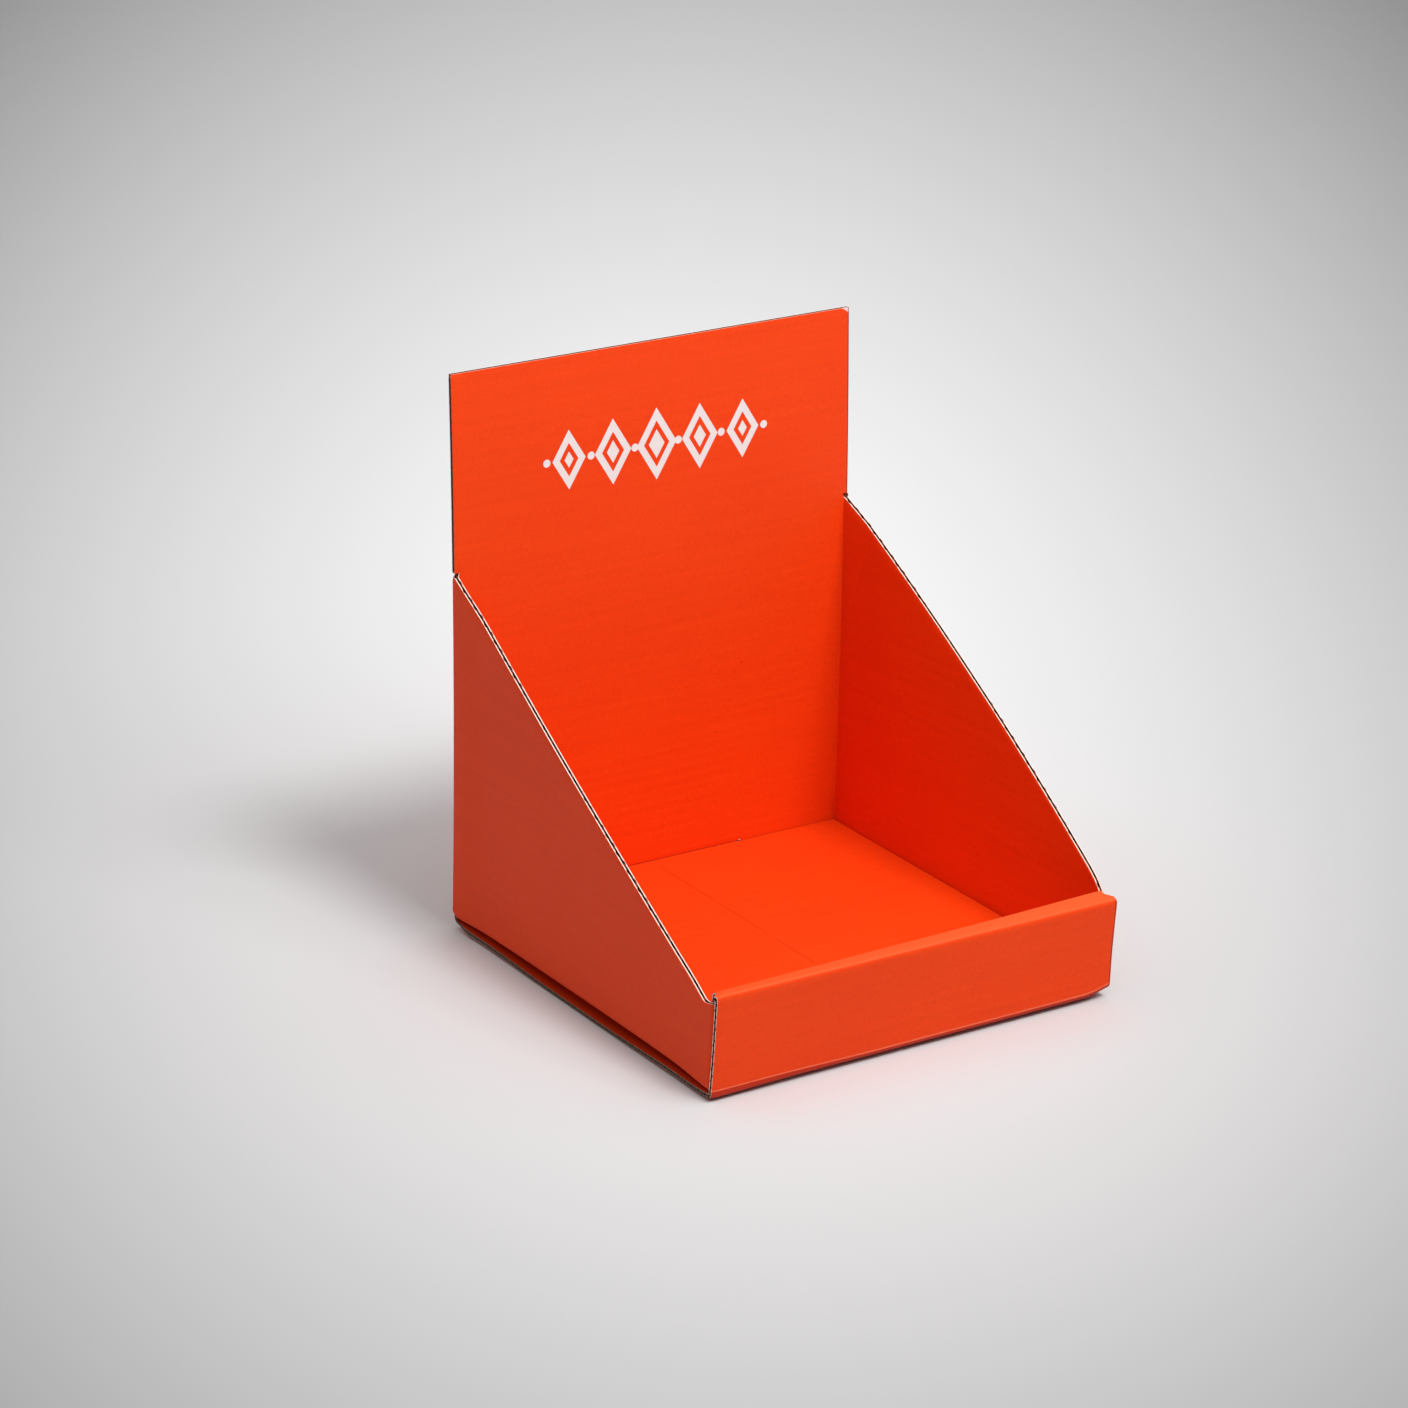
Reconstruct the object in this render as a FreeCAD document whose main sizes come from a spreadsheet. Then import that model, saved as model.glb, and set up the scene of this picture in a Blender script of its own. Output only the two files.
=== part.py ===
import FreeCAD, Part
import os
from math import radians, sin

import Sketcher

# Counter display stand, folded from one die-cut blank of single-wall corrugated board.
# Millimetres and degrees. +Z is up, the open front faces -Y, and the origin is the centre
# of the footprint on the table.

doc = FreeCAD.newDocument("display_stand")

# Driving dimensions
sheet = doc.addObject("Spreadsheet::Sheet", "Sizes")
SIZES = [
    ("board", 3.2, "thickness of the corrugated board"),
    ("crease", 0.5, "inside radius of every fold"),
    ("width", 250, "outside width over the side walls"),
    ("depth", 263, "outside depth, from the back to the foremost point of the lip"),
    ("height", 314, "height of the header"),
    ("header_inset", 0.6, "each side edge of the header stands this far inside the side walls"),
    ("side_height", 204, "height of the side walls at the back"),
    ("foot_height", 52.7, "height of the side walls where they meet the lip"),
    ("foot_reach", 12.5, "from the front of the lip to the foot of the slanted edge"),
    ("foot_round", 8, "radius of the hollow curve at the foot of the slanted edge"),
    ("wall_bow", 3, "how far a side wall bulges outwards halfway along its slanted edge"),
    ("lip_height", 58, "height of the front lip"),
    ("lip_depth", 11, "outside depth of the hollow front lip"),
    ("lean", 4.5, "forward lean of the lip, degrees"),
    ("sag_radius", 290, "radius at which the base panel rises towards its folds"),
    ("sag_turn", 6.5, "angle through which the base panel rises towards its folds, degrees"),
    ("flap_notch", 14, "corner cut off each end of a bottom flap"),
    ("flap_seam", 0.8, "gap between the two bottom flaps on the centre line"),
    ("front_flap", 60, "length of each front flap inside the lip"),
    ("front_flap_lift", 4, "lower edge of the front flaps above the bottom flaps"),
    ("layer_gap", 0.3, "gap between layers that lie on each other"),
    ("edge_gap", 0.4, "gap between a panel's edge and the wall beside it"),
    ("tab_width", 116, "width of the floor's rear tab"),
    ("tab_setback", 0.2, "the tab stops this far inside the outer face of the back"),
    ("slot_gap", 0.8, "gap at each end of the tab in its slot"),
    ("nick_width", 1.2, "width of the relief nick at each end of the slot"),
    ("nick_height", 3, "height of the relief nick above the slot"),
    ("corner_slit", 1.4, "slit between the base's rear fold and the side walls' corner folds"),
]
for row, (alias, value, note) in enumerate(SIZES, start=1):
    sheet.set(f"A{row}", alias)
    sheet.set(f"B{row}", str(value))
    sheet.set(f"C{row}", note)
    sheet.setAlias(f"B{row}", alias)
doc.recompute()

# Places that several panels share, as expressions on the driving dimensions
HALF = "Sizes.width / 2"
REAR = "Sizes.depth / 2"
BOARD = "Sizes.board"
FOLD = "(Sizes.crease + Sizes.board)"
MIDLINE = "(Sizes.crease + Sizes.board / 2)"
BACK_INSIDE = f"({REAR} - {BOARD})"
CORNER_Y = f"({REAR} - {FOLD})"
CORNER_X = f"({HALF} - {FOLD})"
INNER_HALF = f"({HALF} - {BOARD} - Sizes.edge_gap)"
FLOOR_END = f"({BACK_INSIDE} - Sizes.edge_gap)"
# Layers, from the table up: base panel, bottom flaps, floor panel
BASE_RISE = "(Sizes.sag_radius * (1 - cos(Sizes.sag_turn)))"
FLAP_LOW = f"({BOARD} + {BASE_RISE} + Sizes.layer_gap)"
FLAP_TOP = f"({FLAP_LOW} + {BOARD})"
FLOOR_LOW = f"({FLAP_TOP} + Sizes.layer_gap)"
WALL_FOOT = f"({FLAP_LOW} + {FOLD})"
FRONT_FLAP_LOW = f"({FLAP_TOP} + Sizes.front_flap_lift)"
# The lip leans forward about its upper front fold
CREASE_Y = f"(-{REAR} + {FOLD})"
CREASE_Z = f"(Sizes.lip_height - {FOLD})"
FLAP_PLAY = f"(Sizes.lip_depth - 3 * {BOARD}) / 2"


def lip_plane(inward, level):
    """Y of a plane parallel to the front panel: inward of its outer face, at a level."""
    square = f"({FOLD} - ({inward}) + (({level}) - {CREASE_Z}) * sin(Sizes.lean))"
    return f"({CREASE_Y} - {square} / cos(Sizes.lean))"


def flap_face(level):
    """Y of the front flaps' outer face at a level."""
    return lip_plane(f"{BOARD} + {FLAP_PLAY}", level)


def wall_front(level):
    """Y where a side wall ends and its front fold begins, at a level."""
    return f"({flap_face(level)} + {FOLD})"


def moved(place, side, amount):
    """Expression for a place moved by an amount to one side (1 or -1)."""
    sign = "+" if side > 0 else "-"
    return f"({place} {sign} {amount})"


def body_named(name):
    body = doc.addObject("PartDesign::Body", name)
    body.Label = name
    return body


def sketch_on(body, role, name, offset="0"):
    """Sketch on one of a body's own planes, moved along that plane's normal."""
    sketch = body.newObject("Sketcher::SketchObject", name)
    plane = [item for item in body.Origin.OriginFeatures if item.Role == role][0]
    sketch.AttachmentSupport = (plane, [""])
    sketch.MapMode = "FlatFace"
    sketch.setExpression("AttachmentOffset.Base.z", offset)
    return sketch


def bind(sketch, constraint, expression):
    """Add a dimension to a sketch and tie it to the driving dimensions."""
    index = sketch.addConstraint(constraint)
    sketch.setExpression(f"Constraints[{index}]", expression)


def number(sketch, expression):
    """Present value of an expression."""
    value = sketch.evalExpression(expression)
    return getattr(value, "Value", value)


def add_arc(sketch, centre, start, end, side):
    """Arc from start to end, its centre on the left (1) or right (-1) of the way.

    Arcs run anticlockwise, so the numbers of its first and last point are given back.
    """
    circle = Part.Circle(centre, FreeCAD.Vector(0, 0, 1), (start - centre).Length)
    low, high = (start, end) if side > 0 else (end, start)
    sketch.addGeometry(Part.ArcOfCircle(circle, circle.parameter(low), circle.parameter(high)))
    return (1, 2) if side > 0 else (2, 1)


def outline(sketch, corners, rounds=None):
    """Closed outline through corners, each a pair of expressions.

    rounds maps an edge's number to (radius, side): the edge from that corner to the next is
    an arc of this radius, with its centre on the left (1) or right (-1) of the way.
    """
    rounds = rounds or {}
    first = sketch.GeometryCount
    points = [FreeCAD.Vector(number(sketch, x), number(sketch, y), 0) for x, y in corners]
    ends = []
    for edge, start in enumerate(points):
        end = points[(edge + 1) % len(points)]
        if edge in rounds:
            radius, side = rounds[edge]
            chord = end - start
            across = FreeCAD.Vector(-chord.y, chord.x, 0).normalize()
            reach = (number(sketch, radius) ** 2 - chord.Length ** 2 / 4) ** 0.5
            centre = (start + end) / 2 + across * (side * reach)
            ends.append(add_arc(sketch, centre, start, end, side))
        else:
            sketch.addGeometry(Part.LineSegment(start, end))
            ends.append((1, 2))
    for edge, (x, y) in enumerate(corners):
        here = first + edge
        after = (edge + 1) % len(corners)
        joint = (here, ends[edge][1], first + after, ends[after][0])
        sketch.addConstraint(Sketcher.Constraint("Coincident", *joint))
        spot = (here, ends[edge][0])
        bind(sketch, Sketcher.Constraint("DistanceX", -1, 1, *spot, points[edge].x), x)
        bind(sketch, Sketcher.Constraint("DistanceY", -1, 1, *spot, points[edge].y), y)
        if edge in rounds:
            radius = rounds[edge][0]
            bind(sketch, Sketcher.Constraint("Radius", here, number(sketch, radius)), radius)


def rectangle(sketch, low, high):
    """Upright rectangle between two opposite corners."""
    outline(sketch, [low, (high[0], low[1]), high, (low[0], high[1])])


def pad(body, sketch, length, name):
    feature = body.newObject("PartDesign::Pad", name)
    feature.Profile = sketch
    feature.setExpression("Length", length)
    return feature


def pocket(body, sketch, length, name, along_normal=False):
    """Cut to a depth, against the sketch's normal or along it; it has to remove something."""
    doc.recompute()
    before = body.Shape.Volume
    feature = body.newObject("PartDesign::Pocket", name)
    feature.Profile = sketch
    feature.Reversed = along_normal
    feature.setExpression("Length", length)
    doc.recompute()
    if not body.Shape.Volume < before:
        raise ValueError(f"{name} cuts nothing")


def strip_path(body):
    """Middle line of the blank's long strip, seen from the side.

    From the top of the header down the back, round the rear fold, along the base, which rises
    a little towards its folds, up the front panel, over the ridge of the lip, down the inner
    front panel and back along the floor.
    """
    sketch = sketch_on(body, "YZ_Plane", "strip_path")
    value = {alias: size for alias, size, note in SIZES}
    bend = value["crease"] + value["board"] / 2
    sag = value["sag_radius"] + value["board"] / 2
    sag_turn = value["sag_turn"]
    lean = value["lean"]
    # First shape for the solver: the length of each run, the radius and turn of each bend
    steps = [
        ("back", value["height"]),
        ("rear_fold", bend, sag_turn - 90),
        ("rear_sag", sag, -sag_turn),
        ("base", value["depth"] * 0.7),
        ("front_sag", sag, -sag_turn),
        ("front_fold", bend, sag_turn + lean - 90),
        ("front", value["lip_height"] * 0.9),
        ("ridge_fold", bend, -90 - lean),
        ("ridge", value["lip_depth"] / 3),
        ("inner_fold", bend, lean - 90),
        ("inner", value["lip_height"] * 0.7),
        ("floor_fold", bend, 90 - lean),
        ("floor", value["depth"] * 0.9),
    ]
    spot = FreeCAD.Vector(value["depth"] / 2, value["height"], 0)
    heading = FreeCAD.Vector(0, -1, 0)
    item = {}
    ends = []
    for name, size, *turn in steps:
        item[name] = sketch.GeometryCount
        if turn:
            side = 1 if turn[0] > 0 else -1
            spin = FreeCAD.Rotation(FreeCAD.Vector(0, 0, 1), turn[0])
            centre = spot + FreeCAD.Vector(-heading.y, heading.x, 0) * (side * size)
            after = centre + spin.multVec(spot - centre)
            heading = spin.multVec(heading)
            ends.append(add_arc(sketch, centre, spot, after, side))
        else:
            after = spot + heading * size
            sketch.addGeometry(Part.LineSegment(spot, after))
            ends.append((1, 2))
        spot = after
    for here in range(len(steps) - 1):
        joint = (here, ends[here][1], here + 1, ends[here + 1][0])
        sketch.addConstraint(Sketcher.Constraint("Tangent", *joint))

    for name in ("rear_fold", "front_fold", "ridge_fold", "inner_fold", "floor_fold"):
        bind(sketch, Sketcher.Constraint("Radius", item[name], bend), MIDLINE)
    for name in ("rear_sag", "front_sag"):
        bind(sketch, Sketcher.Constraint("Radius", item[name], sag), f"Sizes.sag_radius + {BOARD} / 2")
        bind(sketch, Sketcher.Constraint("Angle", item[name], radians(sag_turn)), "Sizes.sag_turn * 1 deg")
    sketch.addConstraint(Sketcher.Constraint("Vertical", item["back"]))
    for name in ("base", "ridge", "floor"):
        sketch.addConstraint(Sketcher.Constraint("Horizontal", item[name]))
    sketch.addConstraint(Sketcher.Constraint("Parallel", item["front"], item["inner"]))
    upright = Sketcher.Constraint("Angle", -2, 1, item["front"], 1, radians(lean))
    bind(sketch, upright, "Sizes.lean * 1 deg")
    hollow = value["lip_depth"] - value["board"]
    apart = Sketcher.Constraint("Distance", item["inner"], 1, item["front"], hollow)
    bind(sketch, apart, f"Sizes.lip_depth - {BOARD}")
    # Point 1 or 2 is the start or end of an item, and 3 is the centre of a bend
    places = [
        ("DistanceX", "back", 1, f"{REAR} - {BOARD} / 2"),
        ("DistanceX", "ridge_fold", 3, CREASE_Y),
        ("DistanceX", "floor", 2, FLOOR_END),
        ("DistanceY", "back", 1, "Sizes.height"),
        ("DistanceY", "base", 1, f"{BOARD} / 2"),
        ("DistanceY", "ridge", 1, f"Sizes.lip_height - {BOARD} / 2"),
        ("DistanceY", "floor", 1, f"{FLOOR_LOW} + {BOARD} / 2"),
    ]
    for kind, name, point, place in places:
        distance = Sketcher.Constraint(kind, -1, 1, item[name], point, number(sketch, place))
        bind(sketch, distance, place)
    return sketch


def long_strip():
    """Header, back, base, front, lip and floor: one strip of board, folded along its length."""
    body = body_named("long_strip")
    path = strip_path(body)
    section = sketch_on(body, "XY_Plane", "board_section", "Sizes.height")
    rectangle(section, (f"-{HALF}", BACK_INSIDE), (HALF, REAR))
    strip = body.newObject("PartDesign::AdditivePipe", "strip")
    strip.Profile = section
    strip.Spine = (path, [])
    strip.Mode = "Binormal"
    strip.Binormal = FreeCAD.Vector(1, 0, 0)

    # A cut starts one board's thickness outside the edge, and ends within the gap behind it
    over = BOARD
    through_back = f"{BOARD} + Sizes.edge_gap / 2"
    back_plane = f"-{REAR}"
    slit = f"({WALL_FOOT} - Sizes.corner_slit)"
    corners = sketch_on(body, "XZ_Plane", "back_corners", back_plane)
    for side in (-1, 1):
        outer = moved(0, side, f"({HALF} + {over})")
        header = moved(0, side, f"({HALF} - Sizes.header_inset)")
        corner = moved(0, side, CORNER_X)
        outline(corners, [
            (outer, slit), (corner, slit), (corner, "Sizes.side_height"),
            (header, "Sizes.side_height"), (header, f"Sizes.height + {over}"),
            (outer, f"Sizes.height + {over}"),
        ])
    pocket(body, corners, through_back, "back_corner_cuts", along_normal=True)

    # The ridge tapers, and the inner panel and the floor fit between the side walls
    hollow_rear = f"Sizes.lip_depth - {BOARD} - Sizes.layer_gap"
    taper = sketch_on(body, "XY_Plane", "ridge_taper", f"Sizes.lip_height + {over}")
    for side in (-1, 1):
        outer = moved(0, side, f"({HALF} + {over})")
        inner = moved(0, side, INNER_HALF)
        taper_end = lip_plane(hollow_rear, CREASE_Z)
        outline(taper, [
            (moved(0, side, f"({HALF})"), CREASE_Y), (outer, CREASE_Y), (outer, taper_end),
            (inner, taper_end),
        ])
    pocket(body, taper, f"{over} + {BOARD} + Sizes.layer_gap", "ridge_taper_cuts")
    edge_low = f"({FLOOR_LOW} - Sizes.layer_gap / 2)"
    edge_top = f"(Sizes.lip_height + {over})"
    edge_rear = f"({BACK_INSIDE} - Sizes.edge_gap / 2)"
    for name, side in (("left", -1), ("right", 1)):
        plane = moved(0, side, f"({HALF} + {over})")
        edges = sketch_on(body, "YZ_Plane", f"{name}_inner_edge", plane)
        outline(edges, [
            (lip_plane(hollow_rear, edge_low), edge_low), (edge_rear, edge_low),
            (edge_rear, edge_top), (lip_plane(hollow_rear, edge_top), edge_top),
        ])
        depth = f"{over} + {BOARD} + Sizes.edge_gap"
        pocket(body, edges, depth, f"{name}_inner_edge_cut", along_normal=side < 0)

    # Slot in the foot of the back with a relief nick at each end, and the floor's tab in it
    slot = sketch_on(body, "XZ_Plane", "slot", back_plane)
    slot_low = f"({FLOOR_LOW} - Sizes.layer_gap)"
    slot_top = f"({FLOOR_LOW} + {BOARD} + Sizes.layer_gap)"
    nick_top = f"({slot_top} + Sizes.nick_height)"
    slot_end = "(Sizes.tab_width / 2 + Sizes.slot_gap)"
    nick_end = f"({slot_end} - Sizes.nick_width)"
    outline(slot, [
        (f"-{slot_end}", slot_low), (slot_end, slot_low), (slot_end, nick_top),
        (nick_end, nick_top), (nick_end, slot_top), (f"-{nick_end}", slot_top),
        (f"-{nick_end}", nick_top), (f"-{slot_end}", nick_top),
    ])
    pocket(body, slot, through_back, "slot_cut", along_normal=True)
    tab = sketch_on(body, "XY_Plane", "tab_outline", FLOOR_LOW)
    half_tab = "Sizes.tab_width / 2"
    rectangle(tab, (f"-{half_tab}", FLOOR_END), (half_tab, f"{REAR} - Sizes.tab_setback"))
    pad(body, tab, BOARD, "tab")
    return body


def quarter_fold(sketch, corner, side_x, side_y, run=None):
    """Section of a right-angle fold, and of a straight run of board after it along x.

    corner is where the two outer faces would meet, and the board lies on the sides given
    (1 or -1) of it. The run, if any, is measured from the corner.
    """
    x, y = corner
    turn = side_x * side_y
    bend_x = moved(x, side_x, FOLD)
    bend_y = moved(y, side_y, FOLD)
    board_x = moved(x, side_x, BOARD)
    board_y = moved(y, side_y, BOARD)
    start = (x, bend_y)
    finish = (board_x, bend_y)
    corners = [start, (bend_x, y), (bend_x, board_y), finish]
    if run:
        end_x = moved(x, side_x, run)
        corners[2:2] = [(end_x, y), (end_x, board_y)]
    outline(sketch, corners, {0: (FOLD, turn), len(corners) - 2: ("Sizes.crease", -turn)})


def side_wall(name, side):
    """Side wall with its corner fold, slanted edge, bottom flap and front flap."""
    body = body_named(f"{name}_side")
    outer = moved(0, side, f"({HALF})")
    inner = moved(outer, -side, BOARD)

    # Flat at its foot, and bulging outwards towards its top
    middle = "((Sizes.side_height + Sizes.foot_height) / 2)"
    grow = f"((Sizes.side_height - {WALL_FOOT}) / ({middle} - {WALL_FOOT}))"
    bulge = f"(Sizes.wall_bow * {grow})"
    chord = f"({CORNER_Y} - {wall_front('Sizes.side_height')})"
    bow_radius = f"({chord} * {chord} / 4 + {bulge} * {bulge}) / (2 * {bulge})"
    sections = []
    for label, level, rounds in (
        ("foot", WALL_FOOT, None),
        ("top", "Sizes.side_height", {0: (bow_radius, side), 2: (bow_radius, -side)}),
    ):
        section = sketch_on(body, "XY_Plane", f"{name}_wall_{label}", level)
        front = wall_front(level)
        corners = [(outer, front), (outer, CORNER_Y), (inner, CORNER_Y), (inner, front)]
        outline(section, corners, rounds)
        sections.append(section)
    wall = body.newObject("PartDesign::AdditiveLoft", f"{name}_wall")
    wall.Profile = sections[0]
    wall.Sections = sections[1:]
    wall.Ruled = True
    corner = sketch_on(body, "XY_Plane", f"{name}_corner_fold_section", WALL_FOOT)
    quarter_fold(corner, (outer, REAR), -side, -1)
    pad(body, corner, f"Sizes.side_height - {WALL_FOOT}", f"{name}_corner_fold")

    # The slanted edge runs to the top of the corner fold, and its foot is hollow
    slope = "atan((Sizes.side_height - Sizes.foot_height) / (Sizes.depth - Sizes.foot_reach))"
    foot_y = f"(Sizes.foot_reach - {REAR})"
    round_run = f"(Sizes.foot_round * tan({slope} / 2))"
    room = f"(2 * Sizes.wall_bow + {BOARD})"
    cut_front = f"({wall_front('Sizes.side_height')} - {BOARD})"
    cut_rear = f"({REAR} + {BOARD})"
    cut_top = f"(Sizes.side_height + 2 * {BOARD})"
    above = sketch_on(body, "YZ_Plane", f"{name}_slanted_edge", moved(outer, side, room))
    outline(above, [
        (cut_front, "Sizes.foot_height"),
        (f"{foot_y} - {round_run}", "Sizes.foot_height"),
        (f"{foot_y} + {round_run} * cos({slope})",
         f"Sizes.foot_height + {round_run} * sin({slope})"),
        (cut_rear, f"Sizes.side_height + {BOARD} * tan({slope})"),
        (cut_rear, cut_top),
        (cut_front, cut_top),
    ], {1: ("Sizes.foot_round", 1)})
    pocket(body, above, f"{room} + 2 * {FOLD}", f"{name}_slanted_cut", along_normal=side < 0)

    # Bottom fold along the whole wall, and the flap on the base with its corners cut off
    foot_front = wall_front(WALL_FOOT)
    fold = sketch_on(body, "XZ_Plane", f"{name}_bottom_fold_section", f"-{CORNER_Y}")
    quarter_fold(fold, (outer, FLAP_LOW), -side, 1)
    pad(body, fold, f"{CORNER_Y} - {foot_front}", f"{name}_bottom_fold")
    root = moved(0, side, CORNER_X)
    notch = moved(root, -side, "Sizes.flap_notch")
    tip = moved(0, side, "Sizes.flap_seam / 2")
    flap_front = f"({foot_front} + Sizes.flap_notch)"
    flap_rear = f"({CORNER_Y} - Sizes.flap_notch)"
    flap = sketch_on(body, "XY_Plane", f"{name}_bottom_flap_outline", FLAP_LOW)
    outline(flap, [
        (root, foot_front), (root, CORNER_Y), (notch, flap_rear), (tip, flap_rear),
        (tip, flap_front), (notch, flap_front),
    ])
    pad(body, flap, BOARD, f"{name}_bottom_flap")

    # Front fold and flap, which lean with the lip and stand inside it
    lower = sketch_on(body, "XY_Plane", f"{name}_front_flap_section", FRONT_FLAP_LOW)
    quarter_fold(lower, (outer, flap_face(FRONT_FLAP_LOW)), -side, 1, "Sizes.front_flap")
    front = pad(body, lower, f"Sizes.foot_height - {FRONT_FLAP_LOW}", f"{name}_front_flap")
    front.UseCustomVector = True
    front.AlongSketchNormal = True
    front.Direction = FreeCAD.Vector(0, -sin(radians(number(lower, "Sizes.lean"))), 1)
    front.setExpression("Direction.x", "0")
    front.setExpression("Direction.y", "-sin(Sizes.lean)")
    front.setExpression("Direction.z", "cos(Sizes.lean)")
    return body


# The stand is one folded piece of board
stand = doc.addObject("Part::MultiFuse", "display_stand")
stand.Label = "display_stand"
stand.Shapes = [long_strip(), side_wall("left", -1), side_wall("right", 1)]
stand.Refine = True
doc.recompute()

for item in doc.Objects:
    if "Invalid" in item.State or "Error" in item.State:
        raise ValueError(f"{item.Name}: {item.State}")
shape = stand.Shape
if shape.isNull() or not shape.isValid() or len(shape.Solids) != 1:
    raise ValueError("the stand is not one valid solid")
os.makedirs("parts", exist_ok=True)
shape.exportStep(f"parts/{stand.Label}.step")
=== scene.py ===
from math import cos, pi, radians, sin, tan

import bpy
import numpy as np
from bpy.props import FloatProperty, FloatVectorProperty, PointerProperty
from mathutils import Matrix, Vector


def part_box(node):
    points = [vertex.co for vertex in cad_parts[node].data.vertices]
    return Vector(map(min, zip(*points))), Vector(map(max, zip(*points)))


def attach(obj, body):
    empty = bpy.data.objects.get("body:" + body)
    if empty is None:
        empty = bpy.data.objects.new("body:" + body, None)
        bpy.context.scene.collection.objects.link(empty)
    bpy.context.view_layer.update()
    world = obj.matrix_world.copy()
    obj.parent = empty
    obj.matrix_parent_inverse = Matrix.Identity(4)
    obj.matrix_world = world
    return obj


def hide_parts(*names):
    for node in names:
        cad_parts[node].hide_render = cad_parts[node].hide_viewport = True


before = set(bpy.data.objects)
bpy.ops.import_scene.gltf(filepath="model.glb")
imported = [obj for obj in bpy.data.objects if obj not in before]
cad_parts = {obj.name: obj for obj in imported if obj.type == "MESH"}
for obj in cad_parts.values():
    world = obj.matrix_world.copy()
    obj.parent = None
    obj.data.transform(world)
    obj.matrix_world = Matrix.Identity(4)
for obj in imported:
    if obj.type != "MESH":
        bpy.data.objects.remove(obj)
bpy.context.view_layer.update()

bl_info = {
    "name": "Cardboard display stand",
    "version": (1, 0, 0),
    "blender": (4, 5, 0),
    "location": "3D View > Sidebar > Stand",
    "description": "A counter display stand folded from one sheet of printed corrugated board",
    "category": "Add Mesh",
}

NODE = "display_stand"
BODY = "root"
MM = 0.001
BESIDE_FOLD = 0.3 * MM  # Rows and columns this close to a fold keep the panel flat up to it
REAR_ONLY = 0.11  # Of the inner print only the back, and so the header, lies behind this y
HALF_VIEW = 0.1452  # Half the frame's width over its distance, seen from the camera


def length(title, description, millimetres):
    """A size in metres whose default is given in millimetres."""
    return FloatProperty(name=title, description=description, default=millimetres * MM,
                         unit="LENGTH", precision=5)


def angle(title, description, degrees):
    """An angle in radians whose default is given in degrees."""
    return FloatProperty(name=title, description=description, default=radians(degrees),
                         subtype="ANGLE")


def colour(title, description, red, green, blue):
    return FloatVectorProperty(name=title, description=description, subtype="COLOR", size=3,
                               min=0.0, max=1.0, default=(red, green, blue))


class BlankSizes(bpy.types.PropertyGroup):
    """Sizes of the folded blank."""
    board: length("Board", "Thickness of the corrugated board", 3.2)
    liner: length("Liner", "Thickness of each printed liner", 0.52)
    pinch: length("Pinch", "How far the cutting die pressed each liner in at a cut edge", 0.4)
    flare: length("Flare", "How far the folds' ends spread into each corner's relief", 3.0)
    crispness: FloatProperty(name="Crispness", description="Exponent of the folds' outer line, "
                             "where 2 is round and more is squarer", default=3.6, min=2.0)
    softness: FloatProperty(name="Softness", description="The same exponent at the walls' bottom "
                            "folds", default=2.4, min=2.0)
    flute_pitch: length("Flute pitch", "From one flute of the core to the next", 6.3)
    flute_paper: length("Flute paper", "Thickness of the fluted paper", 0.4)
    crease: length("Crease", "Inside radius of every fold", 0.5)
    width: length("Width", "Outside width over the side walls at their folds", 250.0)
    header_inset: length("Header inset", "Header edge inside the side walls", 0.6)
    side_height: length("Side height", "Height of the side walls at the back", 204.0)
    foot_height: length("Foot height", "Height of the side walls at the lip", 52.7)
    foot_reach: length("Foot reach", "Front of the lip to the slanted edge's foot", 12.5)
    foot_round: length("Foot round", "Radius of the slanted edge's hollow foot", 8.0)
    lip_height: length("Lip height", "Height of the front lip", 58.0)
    lip_depth: length("Lip depth", "Outside depth of the hollow lip", 11.0)
    lean: angle("Lean", "Forward lean of the lip", 4.5)
    sag_radius: length("Sag radius", "Radius at which the base rises to its folds", 290.0)
    sag_turn: angle("Sag turn", "Angle at which the base meets its folds", 6.5)
    flap_notch: length("Flap notch", "Corner cut off each end of a bottom flap", 14.0)
    flap_seam: length("Flap seam", "Gap between the bottom flaps", 0.8)
    front_flap: length("Front flap", "Length of the flaps inside the lip", 60.0)
    front_flap_lift: length("Front flap lift", "Front flaps above the bottom flaps", 4.0)
    layer_gap: length("Layer gap", "Gap between layers that lie on each other", 0.3)
    edge_gap: length("Edge gap", "Gap between a panel's edge and a wall", 0.4)
    tab_width: length("Tab width", "Width of the floor's rear tab", 116.0)
    tab_setback: length("Tab setback", "Tab inside the outer face of the back", 0.2)
    slot_gap: length("Slot gap", "Gap at each end of the tab in its slot", 0.8)
    nick_width: length("Nick width", "Width of the relief nicks of the slot", 1.2)
    nick_height: length("Nick height", "Height of the relief nicks of the slot", 3.0)
    corner_slit: length("Corner slit", "Slit between the rear fold and the corner folds", 1.4)


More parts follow.
